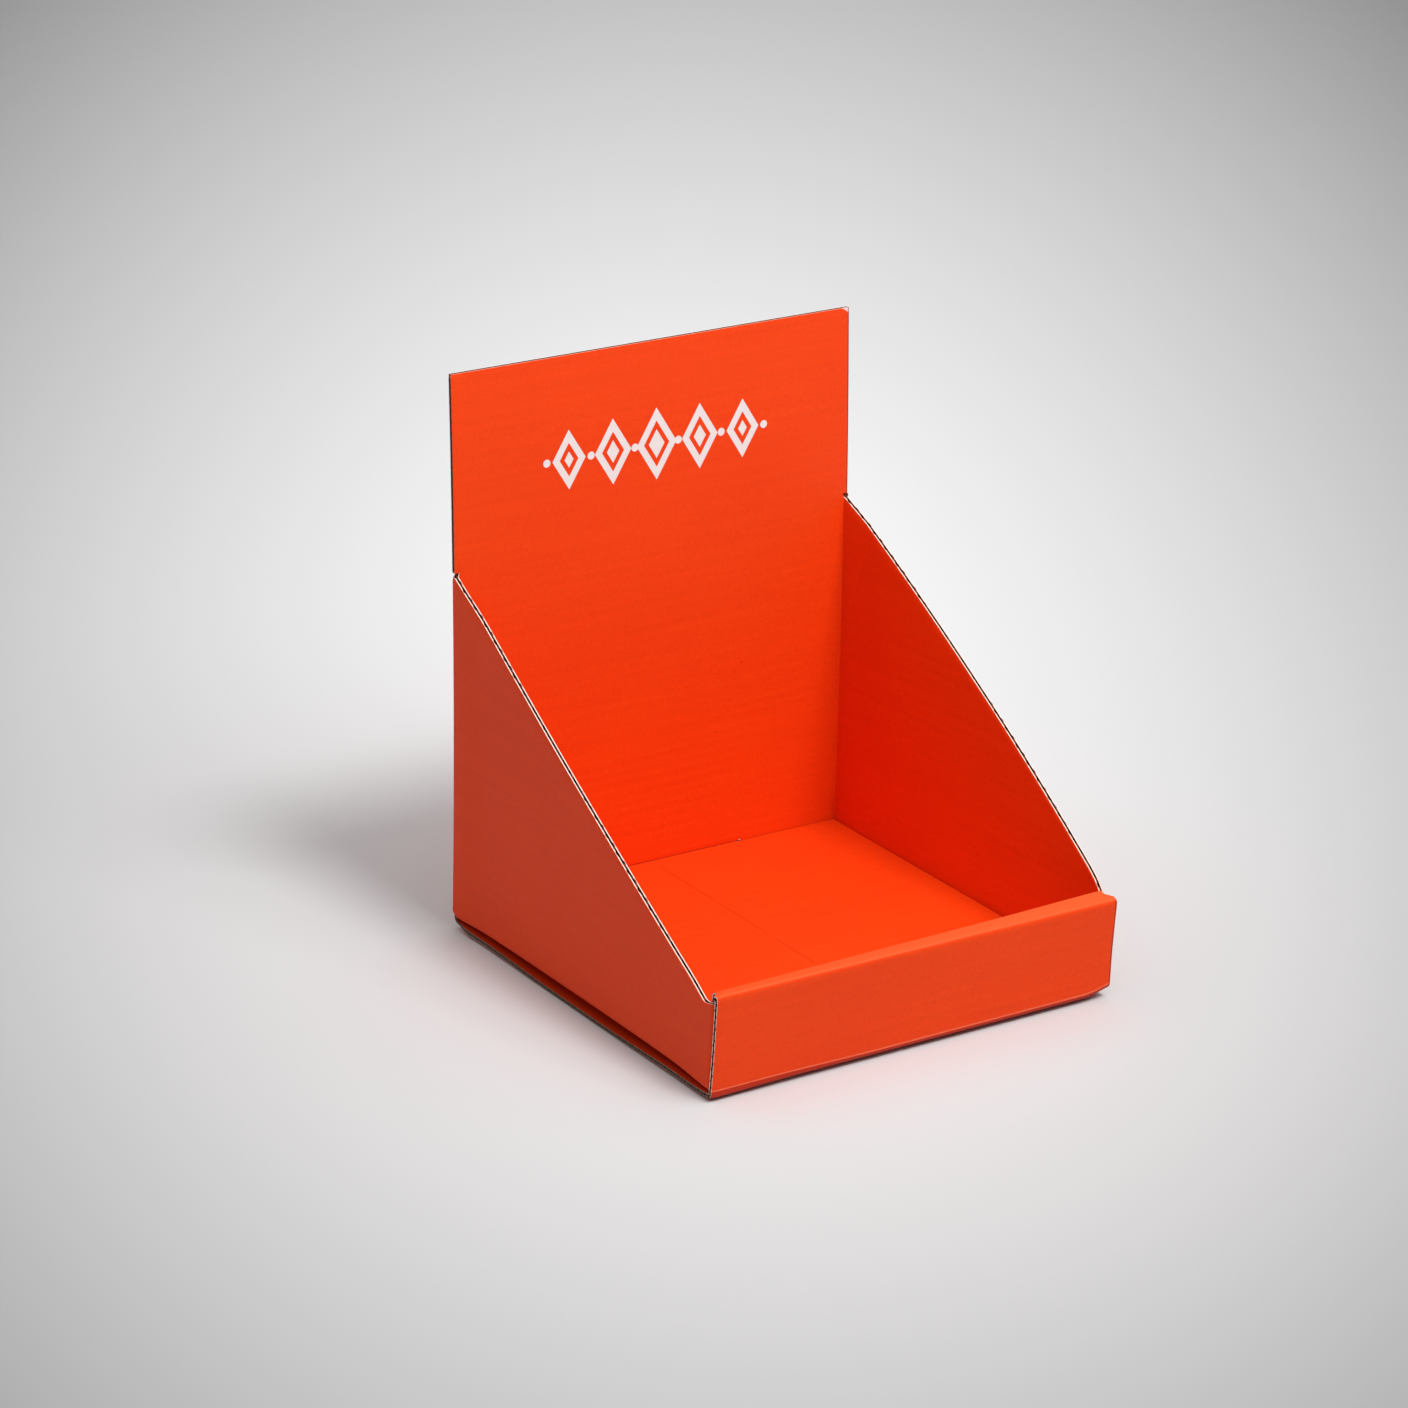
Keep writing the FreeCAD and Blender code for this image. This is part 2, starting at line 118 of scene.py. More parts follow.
class SettledSizes(bpy.types.PropertyGroup):
    """How the folded board has bowed and settled in use."""
    left_bow: length("Left bow", "Outward bulge of the left wall's slanted edge", 1.5)
    right_bow: length("Right bow", "Outward bulge of the right wall's slanted edge", 5.6)
    right_spread: length("Right spread", "The right wall's slanted edge stands this far out", 1.5)
    right_rise: length("Right rise", "The right wall's slanted edge stands this far up", 3.0)
    back_spread: length("Back spread", "The back's foot and top stand this far to the rear", 0.9)
    back_left: length("Back left", "The back's left edge stands this far out", 1.4)
    back_right: length("Back right", "The back's right edge stands this far out", 0.4)
    back_bow: length("Back bow", "The back's middle stands this far forward of them", 2.9)
    header_drop: length("Header drop", "The header's top edge has sunk this far", 0.9)
    corner_tuck: length("Corner tuck", "The rear fold's ends are pushed in this far", 3.4)
    edge_lift: length("Edge lift", "The base touches the table at its middle alone, and all the "
                      "rest stands this much higher", 1.3)
    foot_round: length("Foot rounding", "The rear fold's ends draw in this far at the table", 2.4)
    wall_arch: length("Wall arch", "Rise of the walls' bottom folds at the middle", 1.6)
    front_drop: length("Front drop", "The front's lower fold hangs down this far", 0.8)
    front_left: length("Front left", "Its left end hangs this much lower still", 0.8)
    front_right: length("Front right", "Its right end turns up this far", 2.6)
    lip_forward: length("Lip forward", "Left end of the lip stands this far forward", 0.8)
    lip_back: length("Lip back", "Right end of the lip stands this far back", 1.0)
    ridge_twist: length("Ridge twist", "Rear crease of the ridge: low left, high right", 1.4)


class PaperColours(bpy.types.PropertyGroup):
    """Colours of the print and of the bare paper."""
    print_colour: colour("Print", "Orange print on both liners", 0.8, 0.0485, 0.0016)
    ornament: colour("Ornament", "Unprinted white paper of the header's ornament", 0.76, 0.72, 0.71)
    # Paler ridge colour: stretched print with a painted sheen
    ridge: colour("Ridge", "Print stretched over the ridge of the lip", 0.82, 0.095, 0.018)
    # Pale crease line: cracks in the print with a painted highlight
    crease: colour("Crease", "Print cracked along the front's lower fold", 0.95, 0.25, 0.13)
    cut_edge: colour("Cut edge", "Cut edge of the white liners", 1.0, 0.82, 0.72)
    # Darker cut edge at the header's sides
    header_edge: colour("Header edge", "Soiled cut edge at the header's sides", 0.13, 0.05, 0.035)
    # Painted shade: dark colour of the cut edge near the table
    foot_edge_shade: colour("Worn edge", "Cut edge at the foot, rubbed on the table", 0.27, 0.18, 0.14)
    bare: colour("Bare", "Unprinted side of the liners", 0.24, 0.058, 0.03)
    fluting: colour("Fluting", "Fluted paper of the core", 0.2, 0.046, 0.025)
    dusty: colour("Dusty", "Bare paper at the foot, greyed by the table", 0.22, 0.17, 0.135)


class StageSettings(bpy.types.PropertyGroup):
    """Floor, lights and camera."""
    floor: colour("Floor", "Pale floor", 0.900, 0.900, 0.905)
    # Painted falloff of light: the floor darkens towards this colour away from the stand
    floor_falloff_shade: colour("Far floor", "Floor far from the stand", 0.230, 0.230, 0.230)
    key: FloatProperty(name="Key", description="Soft light from high in front", default=1.48)
    dome: FloatProperty(name="Dome", description="Wide light from above", default=1.33)
    header_light: FloatProperty(name="Header light", description="Power of the lamp by the header, "
                                "in watts", default=4.06)
    sky: FloatProperty(name="Sky", description="Even light from all sides", default=0.185)
    camera_azimuth: angle("Camera azimuth", "Camera round to the left of the front", 32.88)
    camera_elevation: angle("Camera elevation", "Camera above the table", 20.83)
    camera_roll: angle("Camera roll", "Turn of the camera about its view", 0.73)
    camera_distance: length("Camera distance", "From the camera to the point it looks at", 2518.0)
    camera_lens: FloatProperty(name="Camera lens", description="Focal length on a 36 mm sensor",
                               default=123.94)


def smooth(low, high, value):
    """0 below low, 1 above high, and a smooth step between: 3t^2 - 2t^3."""
    t = np.clip((value - low) / (high - low), 0.0, 1.0)
    return t * t * (3.0 - 2.0 * t)


def crisp(turn, radius, exponent):
    """Reach of a crisp right-angled fold beyond a round one, at a turn from its start.

    The fold's outer line is the superellipse |cos|^p + |sin|^p = 1 in place of a circle.
    """
    spread = np.abs(np.cos(turn)) ** exponent + np.abs(np.sin(turn)) ** exponent
    return radius * (spread ** (-1 / exponent) - 1)


class Places:
    """Places that several panels share, worked out from the sizes."""

    def __init__(self, sizes):
        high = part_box(NODE)[1]
        self.sizes = sizes
        self.height = high.z
        self.half = sizes.width / 2
        self.rear = high.y
        self.fold = sizes.crease + sizes.board
        self.bend = sizes.crease + sizes.board / 2
        self.corner_x = self.half - self.fold
        self.corner_y = self.rear - self.fold
        self.inner_half = self.half - sizes.board - sizes.edge_gap
        self.floor_end = self.rear - sizes.board - sizes.edge_gap
        base_rise = sizes.sag_radius * (1 - cos(sizes.sag_turn))
        self.flap_low = sizes.board + base_rise + sizes.layer_gap
        self.floor_low = self.flap_low + sizes.board + sizes.layer_gap
        self.wall_foot = self.flap_low + self.fold
        self.front_flap_low = self.flap_low + sizes.board + sizes.front_flap_lift
        self.slot_low = self.floor_low - sizes.layer_gap
        self.slot_top = self.floor_low + sizes.board + sizes.layer_gap
        self.slot_end = sizes.tab_width / 2 + sizes.slot_gap
        self.crease_y = -self.rear + self.fold
        self.crease_z = sizes.lip_height - self.fold

    def wall_front(self, level):
        """Y where a side wall ends and its front fold begins: a line that leans with the lip."""
        sizes = self.sizes
        inward = sizes.board + (sizes.lip_depth - 3 * sizes.board) / 2
        square = self.fold - inward + (level - self.crease_z) * sin(sizes.lean)
        return self.crease_y - square / cos(sizes.lean) + self.fold

    def slant(self):
        """Foot point, slope angle and rounding of the slanted edge."""
        sizes = self.sizes
        foot = sizes.foot_reach - self.rear
        slope = np.arctan2(sizes.side_height - sizes.foot_height, self.rear - foot)
        return foot, slope, sizes.foot_round * tan(slope / 2)

    def slant_height(self, y):
        """Height of the side wall at y: a level foot, then an arc, then a straight slope."""
        sizes = self.sizes
        foot, slope, run = self.slant()
        along = np.clip(y - (foot - run), 0.0, sizes.foot_round * sin(slope))
        arc = sizes.foot_round - np.sqrt(sizes.foot_round ** 2 - along ** 2)
        straight = (y - foot) * tan(slope)
        return sizes.foot_height + np.where(y > foot + run * cos(slope), straight, arc)

    def slant_front(self, level):
        """Y of the slanted edge at a level: the same outline read the other way."""
        sizes = self.sizes
        foot, slope, run = self.slant()
        rise = level - sizes.foot_height
        sunk = np.clip(sizes.foot_round - rise, 0.0, sizes.foot_round)
        arc = foot - run + np.sqrt(sizes.foot_round ** 2 - sunk ** 2)
        on_arc = rise < sizes.foot_round * (1 - cos(slope))
        edge = np.where(on_arc, arc, foot + rise / tan(slope))
        return np.where(rise < 0, self.wall_front(level), edge)


class StripLine:
    """Middle line of the long strip, from the header's top to the floor's rear edge.

    It is a chain of straight runs and arcs, each of constant curvature, so a point at
    distance s along it follows from its run's start and the angle turned since.
    """

    def __init__(self, places):
        sizes = places.sizes
        bend = places.bend
        sag = sizes.sag_radius + sizes.board / 2
        turn, lean = sizes.sag_turn, sizes.lean
        fold_z = sag + sizes.board / 2 - cos(turn) * (sag - bend)
        sag_run = sin(turn) * (sag - bend)
        front = (places.crease_z - fold_z) / cos(lean)
        front_y = places.crease_y + front * sin(lean)
        ridge = (sizes.lip_depth - sizes.board - 2 * bend) / cos(lean)
        floor_z = places.floor_low + sizes.board / 2 + bend
        inner = (places.crease_z + 2 * bend * sin(lean) - floor_z) / cos(lean)
        floor_y = places.crease_y + ridge + 2 * bend * cos(lean) + inner * sin(lean)
        quarter = pi / 2
        runs = [
            ("back", places.height - fold_z, 0),
            ("rear_fold", bend * (quarter - turn), turn - quarter),
            ("rear_sag", sag * turn, -turn),
            ("base", places.corner_y - front_y - 2 * sag_run, 0),
            ("front_sag", sag * turn, -turn),
            ("front_fold", bend * (quarter - turn - lean), turn + lean - quarter),
            ("front", front, 0),
            ("ridge_fold", bend * (quarter + lean), -quarter - lean),
            ("ridge", ridge, 0),
            ("inner_fold", bend * (quarter - lean), lean - quarter),
            ("inner", inner, 0),
            ("floor_fold", bend * (quarter - lean), quarter - lean),
            ("floor", places.floor_end - floor_y, 0),
        ]
        self.names = [name for name, run, turned in runs]
        self.lengths = np.array([run for name, run, turned in runs])
        self.curvature = np.array([turned / run for name, run, turned in runs])
        self.starts = np.concatenate([[0.0], np.cumsum(self.lengths)[:-1]])
        turned = np.cumsum([0.0] + [run[2] for run in runs[:-1]])
        self.headings = turned - quarter
        self.fold, self.crispness = places.fold, sizes.crispness
        self.points = np.zeros((len(runs), 2))
        self.points[0] = places.rear - sizes.board / 2, places.height
        for run in range(1, len(runs)):
            self.points[run] = self._point(run - 1, self.lengths[run - 1])

    def _point(self, run, along):
        heading, bent = self.headings[run], self.curvature[run]
        after = heading + bent * along
        safe = np.where(bent == 0, 1.0, bent)
        arc_across, arc_up = np.sin(after) - np.sin(heading), np.cos(heading) - np.cos(after)
        across = np.where(bent == 0, np.cos(heading) * along, arc_across / safe)
        up = np.where(bent == 0, np.sin(heading) * along, arc_up / safe)
        return self.points[run] + np.stack([across, up], axis=-1)

    def span(self, name):
        """Start and end of a named run."""
        run = self.names.index(name)
        return self.starts[run], self.starts[run] + self.lengths[run]

    def at(self, stations):
        """Points (y, z), outward normals and the folds' bulge at the stations.

        Every tight fold is crisp except the front's lower one, which stays round.
        """
        run = np.clip(np.searchsorted(self.starts, stations, side="right") - 1, 0, None)
        along = stations - self.starts[run]
        heading = self.headings[run] + self.curvature[run] * along
        normals = np.stack([-np.sin(heading), np.cos(heading)], axis=-1)
        turn = np.clip(along / self.lengths[run], 0, 1) * pi / 2
        tight = (self.curvature[run] < -50) & (run != self.names.index("front_fold"))
        bulge = np.where(tight, crisp(turn, self.fold, self.crispness), 0.0)
        return self._point(run, along), normals, bulge

    def stations(self, step, arc_parts):
        """Stations that part each arc evenly and each straight run into steps.

        One more station close to each end of a straight run keeps it flat up to its folds.
        """
        parts = []
        for start, run, bent in zip(self.starts, self.lengths, self.curvature):
            count = arc_parts if abs(bent) > 50 else max(1, int(np.ceil(run / step)))
            parts.append(np.linspace(start, start + run, count, endpoint=False))
            if bent == 0 and run > 1.0 * MM:
                parts.append(start + np.array([BESIDE_FOLD, run - BESIDE_FOLD]))
        return np.sort(np.concatenate(parts + [[self.starts[-1] + self.lengths[-1]]]))


class Panel:
    """A grid of points on the board's middle surface.

    points and normals are rows x columns x 3, flat holds the same places on the flat blank
    (along the flutes, across the flutes), keep says which cells are board, and bulge is how
    far the outer liner of a fold stands out over a round one.
    """

    def __init__(self, points, normals, flat, keep=None, bulge=0.0):
        self.points, self.normals, self.flat = points, normals, flat
        rows, columns = points.shape[:2]
        self.bulge = np.broadcast_to(bulge, (rows, columns))
        self.keep = np.ones((rows - 1, columns - 1), bool) if keep is None else keep


def grid(x, y, z):
    """Stacks three broadcast coordinates into one array of points."""
    return np.stack(np.broadcast_arrays(x, y, z), axis=-1).astype(float)


def levels_of(places, step):
    """Levels on the back where rows of the strip and of the side walls meet."""
    sizes = places.sizes
    count = int(round((sizes.side_height - places.wall_foot) / step))
    even = np.linspace(sizes.side_height, places.wall_foot, count + 1)
    flap = (places.front_flap_low - places.wall_foot) / (sizes.foot_height - places.wall_foot)
    flap = places.wall_foot + flap * (sizes.side_height - places.wall_foot)
    beside = [flap, sizes.side_height - 2.0 * MM, places.wall_foot + 0.3 * MM]
    return np.sort(np.concatenate([even, beside]))[::-1]


def strip_panel(places, line, stations, columns, nicks=True):
    """Long strip of the blank: each column runs along the strip line at its own x.

    The outermost columns lie on the cut edges. Between the side walls the edge cells are
    left out, because there the board goes on round the corners.
    """
    sizes = places.sizes
    half = np.full(len(stations), places.half)
    half[stations < places.height - sizes.side_height + 1e-9] -= sizes.header_inset
    ridge_start, ridge_end = line.span("ridge")
    inner = places.inner_half
    taper = np.clip((ridge_end - stations) / (ridge_end - ridge_start), 0, 1)
    half = np.where(stations > ridge_start - 1e-9, inner + (places.half - inner) * taper, half)
    ends = half[:, None] * np.array([[-1.0, 1.0]])
    x = np.concatenate([ends[:, :1], np.tile(columns, (len(stations), 1)), ends[:, 1:]], axis=1)
    middle, outward, bulge = line.at(stations)
    points = grid(x, middle[:, :1], middle[:, 1:])
    normals = grid(np.zeros_like(x), outward[:, :1], outward[:, 1:])
    across = np.broadcast_to((places.height - stations)[:, None], x.shape)
    flat = np.stack([x, across], axis=-1)

    # Middle of every cell
    aside = (x[:, :-1] + x[:, 1:]) / 2
    aside = (aside[:-1] + aside[1:]) / 2
    station = (stations[:-1] + stations[1:]) / 2
    station = np.broadcast_to(station[:, None], aside.shape)
    level = places.height - station
    keep = np.ones(aside.shape, bool)
    beside = (level < sizes.side_height) & (level > places.wall_foot - sizes.corner_slit)
    keep[:, 0] &= ~beside[:, 0]
    keep[:, -1] &= ~beside[:, -1]
    above_low = (level > places.slot_low) & (abs(aside) < places.slot_end)
    in_slot = above_low & (level < places.slot_top)
    in_nick = above_low & (level < places.slot_top + sizes.nick_height)
    in_nick &= abs(aside) > places.slot_end - sizes.nick_width
    keep &= ~(in_slot | (in_nick & nicks))
    keep &= (station < line.span("floor")[1]) | (abs(aside) < sizes.tab_width / 2)
    return Panel(points, normals, flat, keep, bulge[:, None])


def strip_stations(places, line, step, arc_parts, levels=()):
    """Stations of the strip, with those of its cuts and, behind the floor, of its tab."""
    sizes = places.sizes
    cuts = [sizes.side_height, places.wall_foot, places.wall_foot - sizes.corner_slit,
            places.slot_low, places.slot_top, places.slot_top + sizes.nick_height]
    end = line.span("floor")[1]
    tab = sizes.board + sizes.edge_gap - sizes.tab_setback
    regular = line.stations(step, arc_parts)
    if len(levels):
        top, low = places.height - sizes.side_height, places.height - places.wall_foot
        regular = regular[(regular < top - 1e-6) | (regular > low + 1e-6)]
    stations = np.concatenate([
        regular, places.height - np.array(cuts), places.height - np.asarray(levels), [end + tab],
        [2.0 * MM],
    ])
    stations = np.sort(stations)
    return stations[np.concatenate([[True], np.diff(stations) > 5e-6])]


def strip_columns(places, count):
    """Columns of the strip between the side walls, with the ends of the slot and tab."""
    tab_end, nick = places.sizes.tab_width / 2, places.slot_end - places.sizes.nick_width
    breaks = np.array([tab_end, places.slot_end, nick, places.corner_x - BESIDE_FOLD])
    even = np.linspace(-places.corner_x, places.corner_x, count)
    return np.unique(np.round(np.concatenate([even, breaks, -breaks]), 9))


def round_fold(turning, straight, run):
    """Values round a fold's turn, and then one value all along the straight run."""
    return np.concatenate([turning, np.full(len(run), straight)])


def wall_panel(places, side, levels, depth_parts, arc_parts):
    """Side wall and its corner fold, seen as rows between its foot and its top edge.

    The fold is a quarter turn about the corner. Each column of the wall runs from its foot
    up to the slanted edge, so a row's height is a fixed share of the column's height.
    """
    sizes = places.sizes
    turn = np.linspace(pi / 2, 0, arc_parts + 1)[:-1]
    fold_x = side * (places.corner_x + places.bend * np.cos(turn))
    fold_y = places.corner_y + places.bend * np.sin(turn)
    hollow, slope, run = places.slant()
    front_top = places.wall_front(sizes.foot_height)
    arc_y = np.linspace(hollow - run, hollow + run * cos(slope), 8)
    long_y = np.linspace(places.corner_y, arc_y[-1], depth_parts, endpoint=False)
    beside = places.corner_y - BESIDE_FOLD
    wall_y = np.concatenate([
        long_y[:1], [beside], long_y[1:], arc_y[::-1], [front_top + BESIDE_FOLD, front_top],
    ])
    share = (levels - places.wall_foot) / (sizes.side_height - places.wall_foot)
    y = np.concatenate([fold_y, wall_y])
    outer_y = np.concatenate([places.corner_y + places.fold * np.sin(turn) ** 6, wall_y])
    top = np.minimum(places.slant_height(outer_y), sizes.side_height)
    drop = sizes.flare * np.sin(2 * turn)
    z = places.wall_foot + share[:, None] * (top - places.wall_foot)[None, :]
    z[-1] = round_fold(places.wall_foot - drop, places.wall_foot, wall_y)
    x = round_fold(fold_x, side * (places.half - sizes.board / 2), wall_y)
    # The front edge leans with the lip, and the columns beside it follow it by degrees
    near = smooth(arc_y[-1] + 0.03, front_top, y)
    y = y[None, :] + near * (places.wall_front(z) - front_top)
    points = grid(x[None, :], y, z)
    normals_x = side * round_fold(np.cos(turn), 1.0, wall_y)
    normals_y = round_fold(np.sin(turn), 0.0, wall_y)
    normals = grid(np.broadcast_to(normals_x, z.shape), np.broadcast_to(normals_y, z.shape), 0.0)
    along = side * (places.half + places.corner_y - y)
    flat = np.stack([along, z], axis=-1)
    bulge = round_fold(crisp(turn, places.fold, sizes.crispness), 0.0, wall_y)
    return Panel(points, normals, flat, bulge=bulge[None, :])


def bottom_panel(places, side, wall, arc_parts, flap_parts):
    """Bottom fold and flap of a side wall, hinged on the wall panel's foot row.

    Rows go round the quarter turn and on towards the centre line. Past the fold both ends of
    a row draw in at 45 degrees over the notch.
    """
    sizes = places.sizes
    foot_y = wall.points[-1, :, 1]
    foot_y = foot_y[foot_y <= places.corner_y + 1e-9]
    share = (foot_y - foot_y[0]) / (foot_y[-1] - foot_y[0])
    turn = np.linspace(0, pi / 2, arc_parts + 1)
    reach = places.corner_x - sizes.flap_seam / 2
    run = np.concatenate([[BESIDE_FOLD], np.linspace(sizes.flap_notch, reach, flap_parts)])
    drawn = np.concatenate([np.zeros(len(turn)), np.minimum(run, sizes.flap_notch)])
    flare = round_fold(sizes.flare * np.append(np.sin(turn), 0.8), 0.0, run[1:])
    rear, front = foot_y[0] - drawn + flare, foot_y[-1] + drawn - flare
    y = rear[:, None] + share[None, :] * (front - rear)[:, None]
    x = np.concatenate([places.corner_x + places.bend * np.cos(turn), places.corner_x - run])
    z = places.wall_foot - places.bend * round_fold(np.sin(turn), 1.0, run)
    out_x = round_fold(np.cos(turn), 0.0, run)
    out_z = -round_fold(np.sin(turn), 1.0, run)
    points = grid(side * x[:, None], y, z[:, None])
    normals = grid(side * out_x[:, None], np.zeros_like(y), out_z[:, None])
    flat = np.stack([y, np.broadcast_to(x[:, None], y.shape)], axis=-1)
    bulge = round_fold(crisp(turn, places.fold, sizes.softness), 0.0, run)
    return Panel(points, normals, flat, bulge=bulge[:, None])


def front_panel(places, side, wall, arc_parts, flap_parts):
    """Front fold and flap of a side wall, hinged on the wall panel's front column.

    The fold goes down to the wall's foot, and the flap ends above the bottom flap.
    """
    sizes = places.sizes
    z = wall.points[:, -1, 2]
    turn = np.linspace(0, pi / 2, arc_parts + 1)
    run = np.linspace(0, sizes.front_flap - places.fold, flap_parts + 1)[1:]
    x = np.concatenate([places.corner_x + places.bend * np.cos(turn), places.corner_x - run])
    forward = round_fold(np.sin(turn), 1.0, run)
    y = places.wall_front(z)[:, None] - places.bend * forward[None, :]
    lower = np.zeros_like(y)
    lower[-1] = sizes.flare * forward
    out_x = round_fold(np.cos(turn), 0.0, run)
    points = grid(side * x[None, :], y, z[:, None] - lower)
    normals = grid(side * out_x[None, :] + 0 * y, -forward[None, :], 0.0)
    flat = np.stack(np.broadcast_arrays(x[None, :], z[:, None]), axis=-1)
    bulge = round_fold(crisp(turn, places.fold, sizes.crispness), 0.0, run)
    fold = np.arange(len(x) - 1) < arc_parts
    keep = fold[None, :] | (z[1:] > places.front_flap_low - 1e-6)[:, None]
    return Panel(points, normals, flat, keep, bulge[None, :])


def settle(points, places, settled):
    """Bows and leans of the real stand, as small smooth shifts of every point.

    Each wall bulges as a parabola along its depth, growing from its foot to its slanted edge.
    The back is a parabola in height, forward in its middle. The lip is a little turned, its
    ridge twisted, and the folds at the foot rise where the board springs back. The front's
    lower fold hangs, and all but the middle of the base stands clear of the table.
    """
    x, y, z = points[..., 0], points[..., 1], points[..., 2]
    sizes = places.sizes
    right = np.clip(x / sizes.width + 0.5, 0, 1)
    # Side walls
    low_front = places.wall_front(sizes.foot_height)
    along = np.clip((places.corner_y - y) / (places.corner_y - low_front), 0, 1)
    top = places.slant_height(np.clip(y, None, places.rear))
    grow = np.clip((z - places.wall_foot) / (top - places.wall_foot), 0, 1)
    at_wall = smooth(places.corner_x - 0.02, places.corner_x + 0.001, abs(x))
    hump = 4 * along * (1 - along)
    right_out = settled.right_bow * hump + settled.right_spread * smooth(0.0, 0.3, hump)
    shift_x = at_wall * grow * np.where(x < 0, -settled.left_bow * hump, right_out)
    rising = smooth(0.05, places.corner_x - 1.0 * MM, x) * smooth(low_front, low_front + 0.01, y)
    rising = rising * (1 - smooth(sizes.side_height, places.height - 0.02, z))
    shift_z = settled.right_rise * rising * grow

    # Back and header
    height = np.clip(z / places.height, 0, 1)
    at_back = smooth(0.0, places.corner_y, y)
    shift_y = (settled.back_spread - settled.back_bow * 4 * height * (1 - height)) * at_back
    at_corner = smooth(places.corner_y - 0.03, places.corner_y, y)
    shift_x += (right * settled.back_right - (1 - right) * settled.back_left) * at_corner
    shift_z -= settled.header_drop * smooth(0.21, places.height, z) * at_back

    # Lip and its ridge
    at_lip = smooth(places.crease_y + 0.022, places.crease_y + 0.006, y)
    upright = smooth(0.0, 0.03, z)
    shift_y += at_lip * upright * (right * settled.lip_back - (1 - right) * settled.lip_forward)
    ridge_rear = np.clip((y - places.crease_y) / sizes.lip_depth, -0.3, 1)
    at_ridge = at_lip * smooth(places.crease_z - 0.02, places.crease_z, z)
    shift_z += at_ridge * settled.ridge_twist * (2 * right - 1) * (1.6 * ridge_rear - 0.5)

    # Folds at the foot, and the base on the table
    low = 1 - smooth(places.wall_foot, places.wall_foot + 0.05, z)
    lifted = smooth(places.corner_x, places.corner_x + places.bend, abs(x)) * low
    above_base = smooth(sizes.board, places.flap_low, z)
    arch = np.clip(1 - (y / places.corner_y) ** 2, 0, 1)
    shift_z += settled.wall_arch * arch * lifted * above_base * smooth(-0.125, -0.1, y)
    front = smooth(-0.085, places.crease_y, y) * (1 - smooth(0.008, 0.03, z))
    left_end, right_end = 1 - smooth(0.0, 0.25, right), smooth(0.94, 1.0, right)
    fall = settled.front_drop + settled.front_left * left_end - settled.front_right * right_end
    shift_z -= fall * front
    foot_end = smooth(places.corner_x, places.half, abs(x)) * (1 - smooth(0.0077, 0.009, z))
    foot_end = foot_end * smooth(0.115, places.corner_y, y)
    shift_y -= settled.corner_tuck * foot_end
    shift_x -= np.sign(x) * settled.foot_round * foot_end * (1 - smooth(-0.001, 0.007, z))
    resting = (1 - smooth(sizes.board, places.flap_low, z)) * (1 - smooth(0.02, 0.1, abs(y)))
    shift_z += settled.edge_lift * (1 - resting)
    return points + np.stack([shift_x, shift_y, shift_z], axis=-1)


class Sheet:
    """Several panels joined into one surface: points shared by panels become one point."""

    def __init__(self, panels):
        points, normals, faces, flats, bulges = [], [], [], [], []
        count = 0
        for panel in panels:
            rows, columns = panel.points.shape[:2]
            index = np.arange(rows * columns).reshape(rows, columns) + count
            cell = np.stack([index[:-1, :-1], index[1:, :-1], index[1:, 1:], index[:-1, 1:]], -1)
            flat = panel.flat
            spot = np.stack([flat[:-1, :-1], flat[1:, :-1], flat[1:, 1:], flat[:-1, 1:]], -2)
            cell, spot = cell[panel.keep], spot[panel.keep]
            down = panel.points[1:, :-1] - panel.points[:-1, :-1]
            across = panel.points[:-1, 1:] - panel.points[:-1, :-1]
            facing = (np.cross(down, across) * panel.normals[:-1, :-1]).sum(-1)[panel.keep]
            if facing.sum() < 0:
                cell, spot = cell[:, ::-1], spot[:, ::-1]
            points.append(panel.points.reshape(-1, 3))
            normals.append(panel.normals.reshape(-1, 3))
            bulges.append(panel.bulge.reshape(-1))
            faces.append(cell)
            flats.append(spot)
            count += rows * columns
        points, normals = np.concatenate(points), np.concatenate(normals)
        faces, self.flats = np.concatenate(faces), np.concatenate(flats)
        keys = np.floor(points / 2e-6 + 0.37).astype(np.int64)
        unique, first, joined = np.unique(keys, axis=0, return_index=True, return_inverse=True)
        faces = joined.reshape(-1)[faces]
        used, faces = np.unique(faces, return_inverse=True)
        self.faces = faces.reshape(-1, 4)
        self.points, self.normals = points[first][used], normals[first][used]
        self.bulge = np.concatenate(bulges)[first][used]
        self.at_rim = np.zeros(len(self.points), bool)
        self.at_rim[self.rim()[0]] = True

    def rim(self):
        """Edges with board on one side only, in the direction in which that face runs."""
        edges = np.stack([self.faces, np.roll(self.faces, -1, axis=1)], -1).reshape(-1, 2)
        flats = np.stack([self.flats, np.roll(self.flats, -1, axis=1)], -2).reshape(-1, 2, 2)
        keep = edges[:, 0] != edges[:, 1]
        edges, flats = edges[keep], flats[keep]
        key = np.sort(edges, axis=1)
        unique, index, counts = np.unique(key, axis=0, return_inverse=True, return_counts=True)
        single = counts[index.reshape(-1)] == 1
        return edges[single], flats[single]


def shell_mesh(name, sheet, front, back, places, settled, materials):
    """Closed shell of a sheet between two offsets from its middle surface.

    front and back are offsets along the outward normals. The front face gets the first
    material, the hidden face the second and the cut edges the third.
    """
    top, under = (
        settle(sheet.points + sheet.normals * np.reshape(offset, (-1, 1)), places, settled)
        for offset in (front, back)
    )
    count = len(top)
    edges, edge_flats = sheet.rim()
    outside = np.mean(front) > np.mean(back)
    face, flat = sheet.faces, sheet.flats
    if not outside:
        face, flat = face[:, ::-1], flat[:, ::-1]
        edges, edge_flats = edges[:, ::-1], edge_flats[:, ::-1]
    rims = np.concatenate([edges[:, ::-1], edges + count], axis=1)
    rim_flats = np.concatenate([edge_flats[:, ::-1], edge_flats], axis=1)
    faces = np.concatenate([face, face[:, ::-1] + count, rims])
    flats = np.concatenate([flat, flat[:, ::-1], rim_flats])
    kinds = np.repeat([0, 1, 2], [len(face), len(face), len(rims)])
    return mesh_object(name, np.concatenate([top, under]), faces, flats, kinds, materials)


